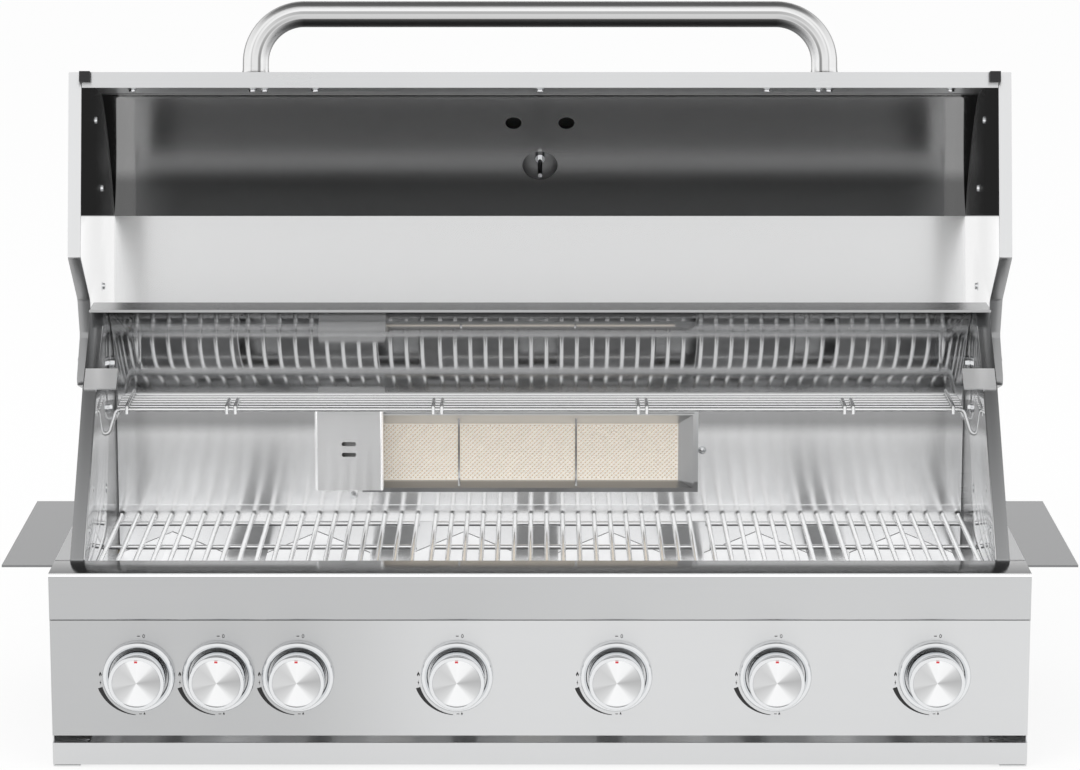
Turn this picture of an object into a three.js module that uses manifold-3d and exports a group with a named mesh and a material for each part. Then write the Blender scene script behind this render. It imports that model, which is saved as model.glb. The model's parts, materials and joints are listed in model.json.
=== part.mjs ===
// A built-in gas grill head with six main burners and one rear burner, in millimetres, +Z up.
// +X is the viewer's right and +Y points away from the viewer. The lid stands open.
import * as THREE from 'three';
import { mergeVertices } from 'three/addons/utils/BufferGeometryUtils.js';
import Module from 'manifold-3d';

const wasm = await Module();
wasm.setup();

// Driving dimensions: sheet metal and fits
const sheet = 1.5;
const fitGap = 0.3;
const cutOverrun = 4;

// Front, from the floor upwards
const footClearance = 3;
const trayFrontHeight = 25;
const trayGap = 8;
const panelHeight = 131.7;
const panelRecess = 1.5;
const panelFlange = 28;
const bandHeight = 53;
const bandReturn = 22;
const railDepth = 62;
const railLip = 50;

// Firebox and rear housing
const fireboxDepth = 344.2;
const fireboxHalfWidth = 507;
const fireboxSideSpace = 33;
const bodyWidth = 2 * (fireboxHalfWidth + fireboxSideSpace);
const fireboxFloorRise = 62;
const cheekWidth = 16.5;
const cheekBreakDepth = 151;
const cheekBreakRise = 162;
const cheekCrestDepth = 253.6;
const rearSpace = 29;
const rearRise = 240;
const rearRailWidth = 48;
const rearRailLip = 3;
const hoodOverhang = 114;
const hoodSpringRise = 110;
const backKneeRise = 110;
const backShoulderDepth = 40;
const backShoulderRise = 196;

// Side panels and their hangers
const sideFootWidth = 30;
const sideBottomSetback = 20;
const hangerReach = 58;
const hangerDrop = 3;
const hangerLeg = 45;
const hangerFrontDepth = 51;
const hangerLength = 306;
const hangerSheet = 2.5;

// The row of burners across the firebox, and the knobs in front of it
const mainBurnerCount = 6;
const tentWidth = 124;
const tentSideGap = 2.4;
const knobRowOffset = -3.6;
const burnerSideMargin = tentWidth / 2 + Math.abs(knobRowOffset) + tentSideGap;
const burnerPitch = 2 * (fireboxHalfWidth - burnerSideMargin) / (mainBurnerCount - 1);

// Knobs, bezels and valves; the bezels fit at half the burner pitch
const knobRise = 69.1;
const bezelSideGap = 3.9;
const bezelRadius = burnerPitch / 4 - bezelSideGap;
const bezelWidth = 7.4;
const knobSideGap = 1.85;
const knobRadius = bezelRadius - bezelWidth - knobSideGap;
const knobDepth = 28;
const knobStandoff = 6;
const knobEdge = 2.8;
const knobRim = 4.75;
const knobFaceRadius = knobRadius - knobRim;
const knobFaceRecess = 1.2;
const stemRadius = 4;
const stemLength = 38;
const stemHoleRadius = 7;
const bezelHeight = 9;
const bezelShoulder = 4.5;
const valveNeckRadius = 9;
const valveNeckLength = 18.7;
const valveRadius = 13;
const valveLength = 28;
const nozzleRadius = 5;
const nozzleLength = 8;
const manifoldRadius = 11;
const manifoldDepth = 38;
const manifoldDrop = 20;
const manifoldEndMargin = 20;
const inletHexRadius = 12;
const inletLength = 36;
const inletProud = 2;
const inletBoreRadius = 5.5;
const inletBoreDepth = 14;
const rearValveStub = 17;

// Burners and heat tents
const burnerRadius = 16;
const burnerWall = 1.5;
const burnerFrontGap = 4;
const burnerRearGap = 12;
const burnerStudRadius = 4;
const burnerStudProud = 5;
const tentLedgeRise = 130.5;
const tentLip = 11.2;
const tentRoofRise = 26;
const tentEndGap = 2.2;

// Cooking grates: left, centre and right
const grateSpanShares = [181 / 490, 155 / 490, 154 / 490];
const grateJoint = 16;
const grateRodCounts = [19, 17, 17];
const grateRodRadius = 3;
const grateTopDrop = 28;
const grateEndGap = 4.2;
const grateSideGap = 1;
const grateWeld = 1;
const grateLedgeWidth = 22;
const grateLedgeUpstand = 14.5;
const crossRodShares = [0.245, 0.592, 0.938];

// Warming rack
const rackRodRadius = 2.5;
const rackRodCount = 7;
const rackRise = 122;
const rackDepth = 88;
const rackRearGap = 29;
const rackSideGap = 13;
const rackLegDrop = 29;
const rackLegSplay = 9;
const rackEndInset = 2;
const rackClipShares = [-0.985, -0.729, -0.242, 0.242, 0.729, 0.985];

// Rear infrared burner and its side cover
const infraWidth = 393.2;
const infraHeight = 92.2;
const infraOffset = -11.9;
const infraRise = 1.5;
const infraProud = 8;
const infraBodyDepth = 26;
const infraFlange = 5;
const infraSideBevel = 18.5;
const infraTopBevel = 14.7;
const infraBottomBevel = 8;
const infraTileRecess = 14;
const infraTileThickness = 10;
const coverWidth = 80.8;
const coverOverlap = 21.6;
const coverHeight = 100;
const coverRise = 7.5;
const coverProud = 40;
const coverSlotLength = 17;
const coverSlotHeight = 5;
const coverSlotPitch = 13;
const gasPipeRadius = 4;
const gasPipeRise = 140;
const gasPipeSideGap = 7.5;
const gasPipeInsert = 8;

// Lid, measured from its front lip when closed: depth backwards and height above the rim
const lidOpenAngle = 104.2;
const lidLipDepth = 35;
const lidLipRise = 10;
const lidWidth = bodyWidth;
const lidEndThickness = 15;
const lidDepth = 360;
const lidHeight = 366;
const lidCrownDrop = 11;
const lidCrownHeight = lidHeight - lidCrownDrop;
const lidFaceHeight = 205;
const lidArcCutShort = 0.5;
const lidArcRadius = lidCrownHeight - lidFaceHeight + lidArcCutShort;
const lidBackDrop = 104;
const lidCorner = 14;
const lidRim = 18;
const linerFlange = 14;
const linerFlangeDrop = 1;
const linerBulge = 12;
const linerCreaseShare = 0.897;
const linerCreaseDrop = 24;
const linerRoofDrop = 20;
const pivotInset = 79;
const pivotRise = 163.7;
const pivotPinRadius = 5;
const pivotHeadRadius = 9;
const pivotHeadLength = 5;
const earFrontReach = 112.5;
const earKnee = [71, 61];
const earHeel = [31, 35];
const earToe = [29, 66];
const bumperSize = 12;
const bumperHeight = 9.2;
const bumperSideInset = 13.2;

// Handle, thermometer and the small holes beside it
const handleRadius = 15;
const handleRise = 40;
const handleStandoff = 72;
const handleSpan = 657;
const handleBend = 56;
const handleFlareRadius = 19;
const handleFlareLength = 9;
const dialRadius = 32;
const dialDepth = 14;
const dialNeckRadius = 6;
const probeRadius = 2.8;
const probeLength = 55;
const dialHoleRadius = 21.5;
const dialAngle = 51.4;
const sideHoleRadius = 9.7;
const sideHoleAngle = 19;
const sideHoleSpacing = 64;

// Spit rod brackets on the cheeks
const spitWidth = 37;
const spitLength = 31;
const spitSheet = 2;

// Facet counts
const knobSides = 18;
const roundSides = 12;
const rodSides = 6;
const crossSides = 4;
const arcSteps = 12;
const handleSteps = 28;

// Levels and planes worked out from the sizes above
const halfWidth = bodyWidth / 2;
const panelBottomZ = footClearance + trayFrontHeight + trayGap;
const panelTopZ = panelBottomZ + panelHeight;
const bandBottomZ = panelTopZ + fitGap;
const counterZ = bandBottomZ + bandHeight;
const knobZ = panelBottomZ + knobRise;
const frontWallY = railDepth + fitGap;
const fireFrontY = frontWallY + sheet;
const fireBackY = fireFrontY + fireboxDepth;
const backInnerY = fireBackY + sheet + rearSpace;
const backOuterY = backInnerY + sheet;
const panelRearY = panelRecess + sheet;
const grateTopZ = counterZ - grateTopDrop;
const grateLedgeZ = grateTopZ - 2 * grateRodRadius - fitGap;
const rearTopZ = counterZ + rearRise;
const rearRailFrontY = fireBackY - hoodOverhang;
const rearRailBackY = rearRailFrontY + rearRailWidth;
const underRailZ = rearTopZ - sheet - fitGap;
const pivotY = backOuterY - pivotInset;
const pivotZ = counterZ + pivotRise;
const pivotDepth = pivotY - lidLipDepth;
const pivotHeight = pivotRise - lidLipRise;
const knobRowLeft = knobRowOffset - burnerPitch * (mainBurnerCount - 1) / 2;
const mainXs = Array.from({ length: mainBurnerCount }, (_, i) => knobRowLeft + i * burnerPitch);
const rearKnobX = knobRowLeft + burnerPitch / 2;
const knobXs = [mainXs[0], rearKnobX, ...mainXs.slice(1)];

// Materials
function metal(color, roughness) {
  return new THREE.MeshStandardMaterial({ color, roughness, metalness: 1 });
}
const brushedSteel = metal(0xc3c5c8, 0.34);
const polishedSteel = metal(0xb4b6b9, 0.16);
const darkSteel = metal(0x7d8084, 0.38);
const linerSteel = metal(0x8a8c90, 0.3);
const chrome = metal(0xe2e4e6, 0.06);
const rodSteel = metal(0xc8cacc, 0.22);
const brass = metal(0xb08d4a, 0.35);
const ceramic = new THREE.MeshStandardMaterial({ color: 0xe4d9c0, roughness: 0.85, metalness: 0 });
const rubber = new THREE.MeshStandardMaterial({ color: 0x1f2022, roughness: 0.8, metalness: 0 });

// The whole part, and the lid group that turns on the pivot
const grill = new THREE.Group();
const lid = new THREE.Group();
lid.position.set(0, pivotY, pivotZ);
lid.rotation.x = -THREE.MathUtils.degToRad(lidOpenAngle);
grill.add(lid);

function add(name, geometry, material, parent = grill) {
  const mesh = new THREE.Mesh(geometry, material);
  mesh.name = name;
  parent.add(mesh);
  return mesh;
}

// Solids: joining and cutting closed meshes
function toSolid(geometry) {
  const bare = geometry.clone();
  bare.deleteAttribute('normal');
  bare.deleteAttribute('uv');
  const merged = mergeVertices(bare);
  const mesh = new wasm.Mesh({
    numProp: 3,
    vertProperties: new Float32Array(merged.attributes.position.array),
    triVerts: new Uint32Array(merged.index.array),
  });
  return new wasm.Manifold(mesh);
}

function fromSolid(solid) {
  const mesh = solid.getMesh();
  const geometry = new THREE.BufferGeometry();
  geometry.setAttribute('position', new THREE.BufferAttribute(mesh.vertProperties, 3));
  geometry.setIndex(new THREE.BufferAttribute(mesh.triVerts, 1));
  geometry.computeVertexNormals();
  return geometry;
}

function join(geometries) {
  return fromSolid(geometries.map(toSolid).reduce((whole, next) => whole.add(next)));
}

function cut(geometry, tools) {
  return fromSolid(tools.map(toSolid).reduce((whole, tool) => whole.subtract(tool), toSolid(geometry)));
}

// Basic shapes
function block(low, high) {
  const size = high.map((value, i) => value - low[i]);
  const centre = high.map((value, i) => (value + low[i]) / 2);
  return new THREE.BoxGeometry(...size).translate(...centre);
}

function rod(radius, start, end, sides = roundSides) {
  const from = new THREE.Vector3(...start);
  const run = new THREE.Vector3(...end).sub(from);
  const up = new THREE.Vector3(0, 1, 0);
  const turn = new THREE.Quaternion().setFromUnitVectors(up, run.clone().normalize());
  const middle = from.clone().addScaledVector(run, 1 / 2);
  return new THREE.CylinderGeometry(radius, radius, run.length(), sides)
    .applyQuaternion(turn)
    .translate(...middle);
}

// The radius of a faceted bore that clears a round shaft of the given radius
function boreRadius(shaftRadius, sides = roundSides) {
  return (shaftRadius + fitGap) / Math.cos(Math.PI / sides);
}

// A rod bent at sharp corners, each rounded by a ball of the rod's own radius
function bentRod(radius, points, sides = rodSides) {
  const runs = points.slice(1).map((point, i) => rod(radius, points[i], point, sides));
  const balls = points.slice(1, -1).map((point) => (
    new THREE.SphereGeometry(radius, sides, sides).translate(...point)
  ));
  return [...runs, ...balls];
}

// A profile of [radius, y] turned about the Y axis
function turned(profile, sides = roundSides) {
  return new THREE.LatheGeometry(profile.map(([r, y]) => new THREE.Vector2(r, y)), sides);
}

function outlineShape(points) {
  return new THREE.Shape(points.map(([a, b]) => new THREE.Vector2(a, b)));
}

// An outline of [y, z] points carried along X
function alongX(points, fromX, toX) {
  const depth = toX - fromX;
  const geometry = new THREE.ExtrudeGeometry(outlineShape(points), { depth, bevelEnabled: false });
  const swap = new THREE.Matrix4().set(0, 0, 1, fromX, 1, 0, 0, 0, 0, 1, 0, 0, 0, 0, 0, 1);
  return geometry.applyMatrix4(swap);
}

// An outline of [x, z] points carried along Y
function alongY(points, fromY, toY) {
  const depth = toY - fromY;
  const geometry = new THREE.ExtrudeGeometry(outlineShape(points), { depth, bevelEnabled: false });
  return geometry.rotateX(Math.PI / 2).translate(0, toY, 0);
}

// The same line moved sideways, to its left for a positive distance, with mitred corners
function offsetLine(points, distance) {
  const normals = points.slice(1).map(([a, b], i) => {
    const run = new THREE.Vector2(a - points[i][0], b - points[i][1]).normalize();
    return new THREE.Vector2(-run.y, run.x);
  });
  return points.map(([a, b], i) => {
    const before = normals[Math.max(i - 1, 0)];
    const after = normals[Math.min(i, normals.length - 1)];
    const mitre = before.clone().add(after);
    const reach = distance / mitre.dot(after);
    return [a + mitre.x * reach, b + mitre.y * reach];
  });
}

// The cross-section of a folded sheet whose one face follows the line
function folded(points, thickness = sheet) {
  return [...points, ...offsetLine(points, thickness).reverse()];
}

function arc(centreA, centreB, radiusA, radiusB, fromAngle, toAngle, steps = arcSteps) {
  return Array.from({ length: steps + 1 }, (_, i) => {
    const angle = fromAngle + (toAngle - fromAngle) * i / steps;
    return [centreA + radiusA * Math.cos(angle), centreB + radiusB * Math.sin(angle)];
  });
}

// Front rail: the top rail, the band below it and a lip down into the firebox, folded from one sheet
const betweenSides = halfWidth - sheet - fitGap;
function frontRail() {
  const line = [
    [railDepth, counterZ - railLip],
    [railDepth, counterZ],
    [0, counterZ],
    [0, bandBottomZ],
    [bandReturn, bandBottomZ],
  ];
  const faces = alongX(folded(line.slice(1, -1)), -halfWidth, halfWidth);
  return join([faces, alongX(folded(line), -betweenSides, betweenSides)]);
}
add('front_rail', frontRail(), brushedSteel);

// Control panel: a folded tray with a hole for each knob stem
function controlPanel() {
  const line = [
    [panelRecess + panelFlange, panelTopZ],
    [panelRecess, panelTopZ],
    [panelRecess, panelBottomZ],
    [panelRecess + panelFlange, panelBottomZ],
  ];
  const holes = knobXs.map((x) => (
    rod(stemHoleRadius, [x, panelRecess - cutOverrun, knobZ], [x, panelRearY + cutOverrun, knobZ])
  ));
  const face = alongX(folded(line.slice(1, -1)), -halfWidth, halfWidth);
  return cut(join([face, alongX(folded(line), -betweenSides, betweenSides)]), holes);
}
add('control_panel', controlPanel(), brushedSteel);

// Bezels and knobs, one pair for each valve; a knob's stem runs back into its valve
const bezelInner = bezelRadius - bezelWidth;
const bezelProfile = [
  [bezelInner, -bezelHeight / 2],
  [bezelInner + bezelWidth / 3, -bezelHeight],
  [bezelRadius - bezelWidth / 4, -bezelHeight],
  [bezelRadius, -bezelShoulder],
  [bezelRadius, 0],
  [bezelInner, 0],
  [bezelInner, -bezelHeight / 2],
];
const knobFrontY = -knobStandoff - knobDepth;
const knobProfile = [
  [0, knobFrontY + knobFaceRecess],
  [knobFaceRadius, knobFrontY + knobFaceRecess],
  [knobFaceRadius, knobFrontY],
  [knobRadius - knobEdge, knobFrontY],
  [knobRadius, knobFrontY + knobEdge],
  [knobRadius, -knobStandoff],
  [stemRadius, -knobStandoff],
  [stemRadius, stemLength - knobStandoff],
  [0, stemLength - knobStandoff],
];
knobXs.forEach((x, i) => {
  const bezel = add(`knob_bezel_${i + 1}`, turned(bezelProfile, knobSides), chrome);
  bezel.position.set(x, panelRecess - fitGap, knobZ);
  const knob = add(`burner_knob_${i + 1}`, turned(knobProfile, knobSides), chrome);
  knob.position.set(x, panelRecess, knobZ);
});

// Gas manifold: the pipe, a valve behind each knob, and the inlet fitting through the right side
const valveFrontY = panelRearY + fitGap;
const valveBodyY = valveFrontY + valveNeckLength;
const valveRearY = valveBodyY + valveLength;
const nozzleEndY = valveRearY + nozzleLength;
const boreDepthY = panelRecess + stemLength - knobStandoff + cutOverrun;
const manifoldZ = knobZ - manifoldDrop;
const rearStubY = (valveBodyY + valveRearY) / 2;
const inletEndX = halfWidth + inletProud;
function valve(x, hasNozzle) {
  const tipRadius = hasNozzle ? nozzleRadius : valveNeckRadius;
  const tipY = hasNozzle ? nozzleEndY : valveRearY + cutOverrun;
  const profile = [
    [0, valveFrontY],
    [valveNeckRadius, valveFrontY],
    [valveNeckRadius, valveBodyY],
    [valveRadius, valveBodyY],
    [valveRadius, valveRearY],
    [tipRadius, valveRearY],
    [tipRadius, tipY],
    [0, tipY],
  ];
  return turned(profile, rodSides).translate(x, 0, knobZ);
}

function gasManifold() {
  const pipeLeft = knobXs[0] - manifoldEndMargin;
  const onPipe = (x) => [x, manifoldDepth, manifoldZ];
  const onStub = (z) => [rearKnobX, rearStubY, z];
  const pipe = rod(manifoldRadius, onPipe(pipeLeft), onPipe(inletEndX - inletLength / 2));
  const hex = rod(inletHexRadius, onPipe(inletEndX - inletLength), onPipe(inletEndX), rodSides);
  const stub = rod(nozzleRadius, onStub(knobZ), onStub(knobZ + rearValveStub));
  const valves = knobXs.map((x) => valve(x, x !== rearKnobX));
  const stemBores = knobXs.map((x) => (
    rod(boreRadius(stemRadius), [x, valveFrontY - cutOverrun, knobZ], [x, boreDepthY, knobZ])
  ));
  const inletBore = rod(
    inletBoreRadius,
    onPipe(inletEndX - inletBoreDepth),
    onPipe(inletEndX + cutOverrun),
  );
  return cut(join([pipe, hex, stub, ...valves]), [...stemBores, inletBore]);
}
add('gas_manifold', gasManifold(), brass);

// Side panels: a wall with a top ledge, a tray runner and a foot folded inwards
const ledgeInnerX = fireboxHalfWidth + cheekWidth + fitGap;
const trayHalfWidth = fireboxHalfWidth - sheet * 4;
const trayLipWidth = sideFootWidth / 2;
const trayLipZ = footClearance + trayFrontHeight - sheet;
const runnerTopZ = trayLipZ - sheet - fitGap;
function sidePanel(side) {
  const inner = halfWidth - sheet;
  const low = panelRearY + fitGap;
  const mirrored = (x0, x1, y0, y1, z0, z1) => (
    block([Math.min(side * x0, side * x1), y0, z0], [Math.max(side * x0, side * x1), y1, z1])
  );
  const rearEnd = backInnerY - fitGap;
  const wall = mirrored(inner, halfWidth, low, rearEnd, 0, counterZ - sheet - fitGap);
  const upperWall = mirrored(inner, halfWidth, frontWallY, rearEnd, 0, counterZ);
  const ledge = mirrored(ledgeInnerX, halfWidth, frontWallY, rearEnd, counterZ - sheet, counterZ);
  const foot = mirrored(halfWidth - sideFootWidth, halfWidth, low, rearEnd, 0, sheet);
  const runnerInner = trayHalfWidth + 2 * sheet;
  const runnerZ = [runnerTopZ - sheet, runnerTopZ];
  const runner = mirrored(runnerInner, halfWidth, sideBottomSetback, rearEnd, ...runnerZ);
  const whole = join([wall, upperWall, ledge, foot, runner]);
  if (side < 0) {
    return whole;
  }
  const port = rod(
    boreRadius(inletHexRadius),
    [inner - cutOverrun, manifoldDepth, manifoldZ],
    [halfWidth + cutOverrun, manifoldDepth, manifoldZ],
  );
  return cut(whole, [port]);
}

// Hangers: the outer wings that carry the grill on the counter's edge
function hanger(side) {
  const inner = halfWidth + fitGap;
  const top = counterZ - hangerDrop;
  const line = [
    [side * inner, top - hangerLeg],
    [side * inner, top],
    [side * (halfWidth + hangerReach), top],
  ];
  return alongY(folded(line, -side * hangerSheet), hangerFrontDepth, hangerFrontDepth + hangerLength);
}

// Back panel: upright behind the firebox, then leaning forward to the rear rail
const backLine = [
  [rearRailBackY, underRailZ],
  [backOuterY - backShoulderDepth, counterZ + backShoulderRise],
  [backOuterY, counterZ + backKneeRise],
  [backOuterY, 0],
];
function backPanel() {
  const upperHalf = fireboxHalfWidth + cheekWidth;
  const upper = alongX(folded(backLine, -sheet), -upperHalf, upperHalf);
  const lower = block([-halfWidth, backInnerY, 0], [halfWidth, backOuterY, counterZ]);
  return join([upper, lower]);
}
add('back_panel', backPanel(), brushedSteel);

// Rear rail: the flat top edge of the rear housing with a short lip in front
function rearRail() {
  const line = [
    [rearRailBackY, rearTopZ],
    [rearRailFrontY, rearTopZ],
    [rearRailFrontY, rearTopZ - rearRailLip],
  ];
  const half = fireboxHalfWidth + cheekWidth;
  return alongX(folded(line), -half, half);
}
add('rear_rail', rearRail(), polishedSteel);

// Firebox front wall with burner holes and ledges for the grates and the heat tents
const wallHalf = fireboxHalfWidth - fitGap;
function fireboxFront() {
  const wall = block([-wallHalf, frontWallY, fireboxFloorRise], [wallHalf, fireFrontY, grateLedgeZ]);
  const ledge = (top) => (
    block([-wallHalf, frontWallY, top - sheet], [wallHalf, fireFrontY + grateLedgeWidth, top])
  );
  const holes = mainXs.map((x) => (
    rod(boreRadius(burnerRadius), [x, frontWallY - cutOverrun, knobZ], [x, fireFrontY + cutOverrun, knobZ])
  ));
  return cut(join([wall, ledge(grateLedgeZ), ledge(tentLedgeRise)]), holes);
}
add('firebox_front', fireboxFront(), brushedSteel);

// Firebox back: the wall behind the grates, curving forward as a hood to the rear rail
const infraX = infraOffset;
const infraZ = counterZ + infraRise;
const infraTopZ = infraZ + infraHeight;
const infraRight = infraX + infraWidth / 2;
const infraLeft = infraX - infraWidth / 2;
const coverRightX = infraLeft + coverOverlap;
const coverLeftX = coverRightX - coverWidth;
const gasPipeEndX = (coverLeftX + coverRightX) / 2;
const gasPipeTopZ = counterZ + coverRise + coverHeight / 5;
function fireboxBack() {
  const hoodTopY = rearRailFrontY + sheet + fitGap;
  const hoodTopZ = rearTopZ - rearRailLip - fitGap;
  const springZ = counterZ + hoodSpringRise;
  const line = [
    [fireBackY, fireboxFloorRise],
    ...arc(hoodTopY, springZ, fireBackY - hoodTopY, hoodTopZ - springZ, 0, Math.PI / 2),
  ];
  const wall = alongX(folded(line, -sheet), -wallHalf, wallHalf);
  const ledge = (top) => (
    block([-wallHalf, fireBackY - grateLedgeWidth, top - sheet], [wallHalf, fireBackY + sheet, top])
  );
  const rearY = fireBackY + sheet + cutOverrun;
  const window = block(
    [infraLeft - fitGap, fireBackY - cutOverrun, infraZ - fitGap],
    [infraRight + fitGap, rearY, infraTopZ + fitGap],
  );
  const studs = mainXs.map((x) => (
    rod(boreRadius(burnerStudRadius), [x, fireBackY - cutOverrun, knobZ], [x, rearY, knobZ])
  ));
  const pipeHole = rod(
    boreRadius(gasPipeRadius),
    [gasPipeEndX, fireBackY - cutOverrun, gasPipeTopZ],
    [gasPipeEndX, rearY, gasPipeTopZ],
  );
  const upstand = block(
    [-wallHalf, fireBackY - sheet, grateLedgeZ - sheet],
    [wallHalf, fireBackY + sheet, grateLedgeZ + grateLedgeUpstand],
  );
  const whole = join([wall, ledge(grateLedgeZ), upstand, ledge(tentLedgeRise)]);
  return cut(whole, [window, pipeHole, ...studs]);
}
add('firebox_back', fireboxBack(), polishedSteel);

// Cheeks: the side walls of the firebox, folded outwards along their sloping front and top edge
const cheekFront = [
  [frontWallY, fireboxFloorRise],
  [frontWallY, counterZ],
  [railDepth + cheekBreakDepth, counterZ + cheekBreakRise],
  [railDepth + cheekCrestDepth, underRailZ],
  [rearRailBackY - 2 * sheet - fitGap, underRailZ],
];
const rackRearY = fireBackY - rackRearGap;
const rackFrontY = rackRearY - rackDepth;
const rackZ = counterZ + rackRise;
const rackLegZ = rackZ - rackLegDrop;
const gasPipeRearY = fireBackY + sheet + rearSpace / 2;
function cheek(side) {
  const inner = fireboxHalfWidth;
  const outer = fireboxHalfWidth + cheekWidth;
  const rearLine = offsetLine(backLine, -sheet - fitGap).slice(1, -1);
  const outline = [...cheekFront, ...rearLine, [backInnerY - fitGap, fireboxFloorRise]];
  const hollowFront = offsetLine(cheekFront, -sheet);
  const hollow = [
    [hollowFront[0][0], fireboxFloorRise - cutOverrun],
    ...hollowFront.slice(1, -1),
    [backOuterY, underRailZ - sheet],
    [backOuterY, fireboxFloorRise - cutOverrun],
  ];
  const span = (low, high) => (side < 0 ? [-high, -low] : [low, high]);
  const body = alongX(outline, ...span(inner, outer));
  const pocket = alongX(hollow, ...span(inner + sheet, outer + cutOverrun));
  const across = (y, z, radius) => {
    const [low, high] = span(inner - cutOverrun, outer + cutOverrun);
    return rod(radius, [low, y, z], [high, y, z]);
  };
  const holes = [
    across(pivotY, pivotZ, boreRadius(pivotPinRadius)),
    across(rackFrontY, rackLegZ, boreRadius(rackRodRadius)),
    across(rackRearY, rackLegZ, boreRadius(rackRodRadius)),
  ];
  if (side < 0) {
    holes.push(across(gasPipeRearY, gasPipeRise, boreRadius(gasPipeRadius)));
  }
  return cut(body, [pocket, ...holes]);
}

// Hinge pins, each with a head inside the cheek and a nut outside the lid
function hingePin(side) {
  const headX = fireboxHalfWidth - fitGap;
  const nutX = lidWidth / 2 + fitGap;
  const at = (x) => [side * x, pivotY, pivotZ];
  const shaft = rod(pivotPinRadius, at(headX - pivotHeadLength), at(nutX + pivotHeadLength));
  const head = rod(pivotHeadRadius, at(headX - pivotHeadLength), at(headX));
  const nut = rod(pivotHeadRadius, at(nutX), at(nutX + pivotHeadLength), rodSides);
  return join([shaft, head, nut]);
}

// Spit rod brackets, laid on the cheek's edge just above the place where it changes slope
function spitBracket(side) {
  const kneeY = railDepth + cheekBreakDepth;
  const kneeZ = counterZ + cheekBreakRise;
  const slope = new THREE.Vector2(cheekCrestDepth - cheekBreakDepth, underRailZ - kneeZ).normalize();
  const line = [
    [kneeY, kneeZ],
    [kneeY + slope.x * spitLength, kneeZ + slope.y * spitLength],
  ];
  const seat = offsetLine(line, fitGap);
  const outerX = fireboxHalfWidth + cheekWidth - sheet;
  const span = side < 0 ? [-outerX, -outerX + spitWidth] : [outerX - spitWidth, outerX];
  return alongX(folded(seat, spitSheet), ...span);
}

[['left', -1], ['right', 1]].forEach(([word, side]) => {
  add(`${word}_side_panel`, sidePanel(side), brushedSteel);
  add(`${word}_hanger`, hanger(side), darkSteel);
  add(`${word}_cheek`, cheek(side), darkSteel);
  add(`${word}_hinge_pin`, hingePin(side), chrome);
  add(`${word}_spit_bracket`, spitBracket(side), brushedSteel);
});

// Burners: tubes from the valve nozzle through the front wall to a stud in the back wall
const burnerFrontY = nozzleEndY - burnerFrontGap;
const burnerEndY = fireBackY - burnerRearGap;
const burnerProfile = [
  [0, burnerEndY - burnerWall],
  [burnerRadius - burnerWall, burnerEndY - burnerWall],
  [burnerRadius - burnerWall, burnerFrontY],
  [burnerRadius, burnerFrontY],
  [burnerRadius, burnerEndY],
  [burnerStudRadius, burnerEndY],
  [burnerStudRadius, fireBackY + burnerStudProud],
  [0, fireBackY + burnerStudProud],
];

// Heat tents: folded roofs over the burners, resting on the lower ledges
const tentFootZ = tentLedgeRise + fitGap;
const tentLine = [
  [tentWidth / 2, tentFootZ],
  [tentWidth / 2, tentFootZ + tentLip],
  [0, tentFootZ + tentLip + tentRoofRise],
  [-tentWidth / 2, tentFootZ + tentLip],
  [-tentWidth / 2, tentFootZ],
];
mainXs.forEach((x, i) => {
  const burner = add(`main_burner_${i + 1}`, turned(burnerProfile), brushedSteel);
  burner.position.set(x, 0, knobZ);
  const tentShape = alongY(folded(tentLine), fireFrontY + tentEndGap, fireBackY - tentEndGap);
  const tent = add(`heat_tent_${i + 1}`, tentShape, polishedSteel);
  tent.position.set(x, 0, 0);
});

// Cooking grates: long rods front to back on cross rods, resting on the upper ledges
const grateFrontY = fireFrontY + grateEndGap;
const grateBackY = fireBackY - 2 * grateEndGap;
const grateLeft = -fireboxHalfWidth + grateSideGap;
const grateSpanTotal = -2 * grateLeft - grateJoint * (grateSpanShares.length - 1);
const grateSpans = grateSpanShares.map((share) => share * grateSpanTotal);
function grate(left, span, count) {
  const rodZ = grateTopZ - grateRodRadius;
  const crossZ = rodZ - 2 * grateRodRadius + grateWeld;
  const first = left + grateRodRadius;
  const pitch = (span - 2 * grateRodRadius) / (count - 1);
  const longRods = Array.from({ length: count }, (_, i) => {
    const x = first + i * pitch;
    return rod(grateRodRadius, [x, grateFrontY, rodZ], [x, grateBackY, rodZ], rodSides);
  });
  const crossRods = crossRodShares.map((share) => {
    const y = grateFrontY + (grateBackY - grateFrontY) * share;
    return rod(grateRodRadius, [left, y, crossZ], [left + span, y, crossZ], crossSides);
  });
  return join([...longRods, ...crossRods]);
}
let grateX = grateLeft;
['left', 'centre', 'right'].forEach((word, i) => {
  add(`${word}_grate`, grate(grateX, grateSpans[i], grateRodCounts[i]), rodSteel);
  grateX += grateSpans[i] + grateJoint;
});

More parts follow.
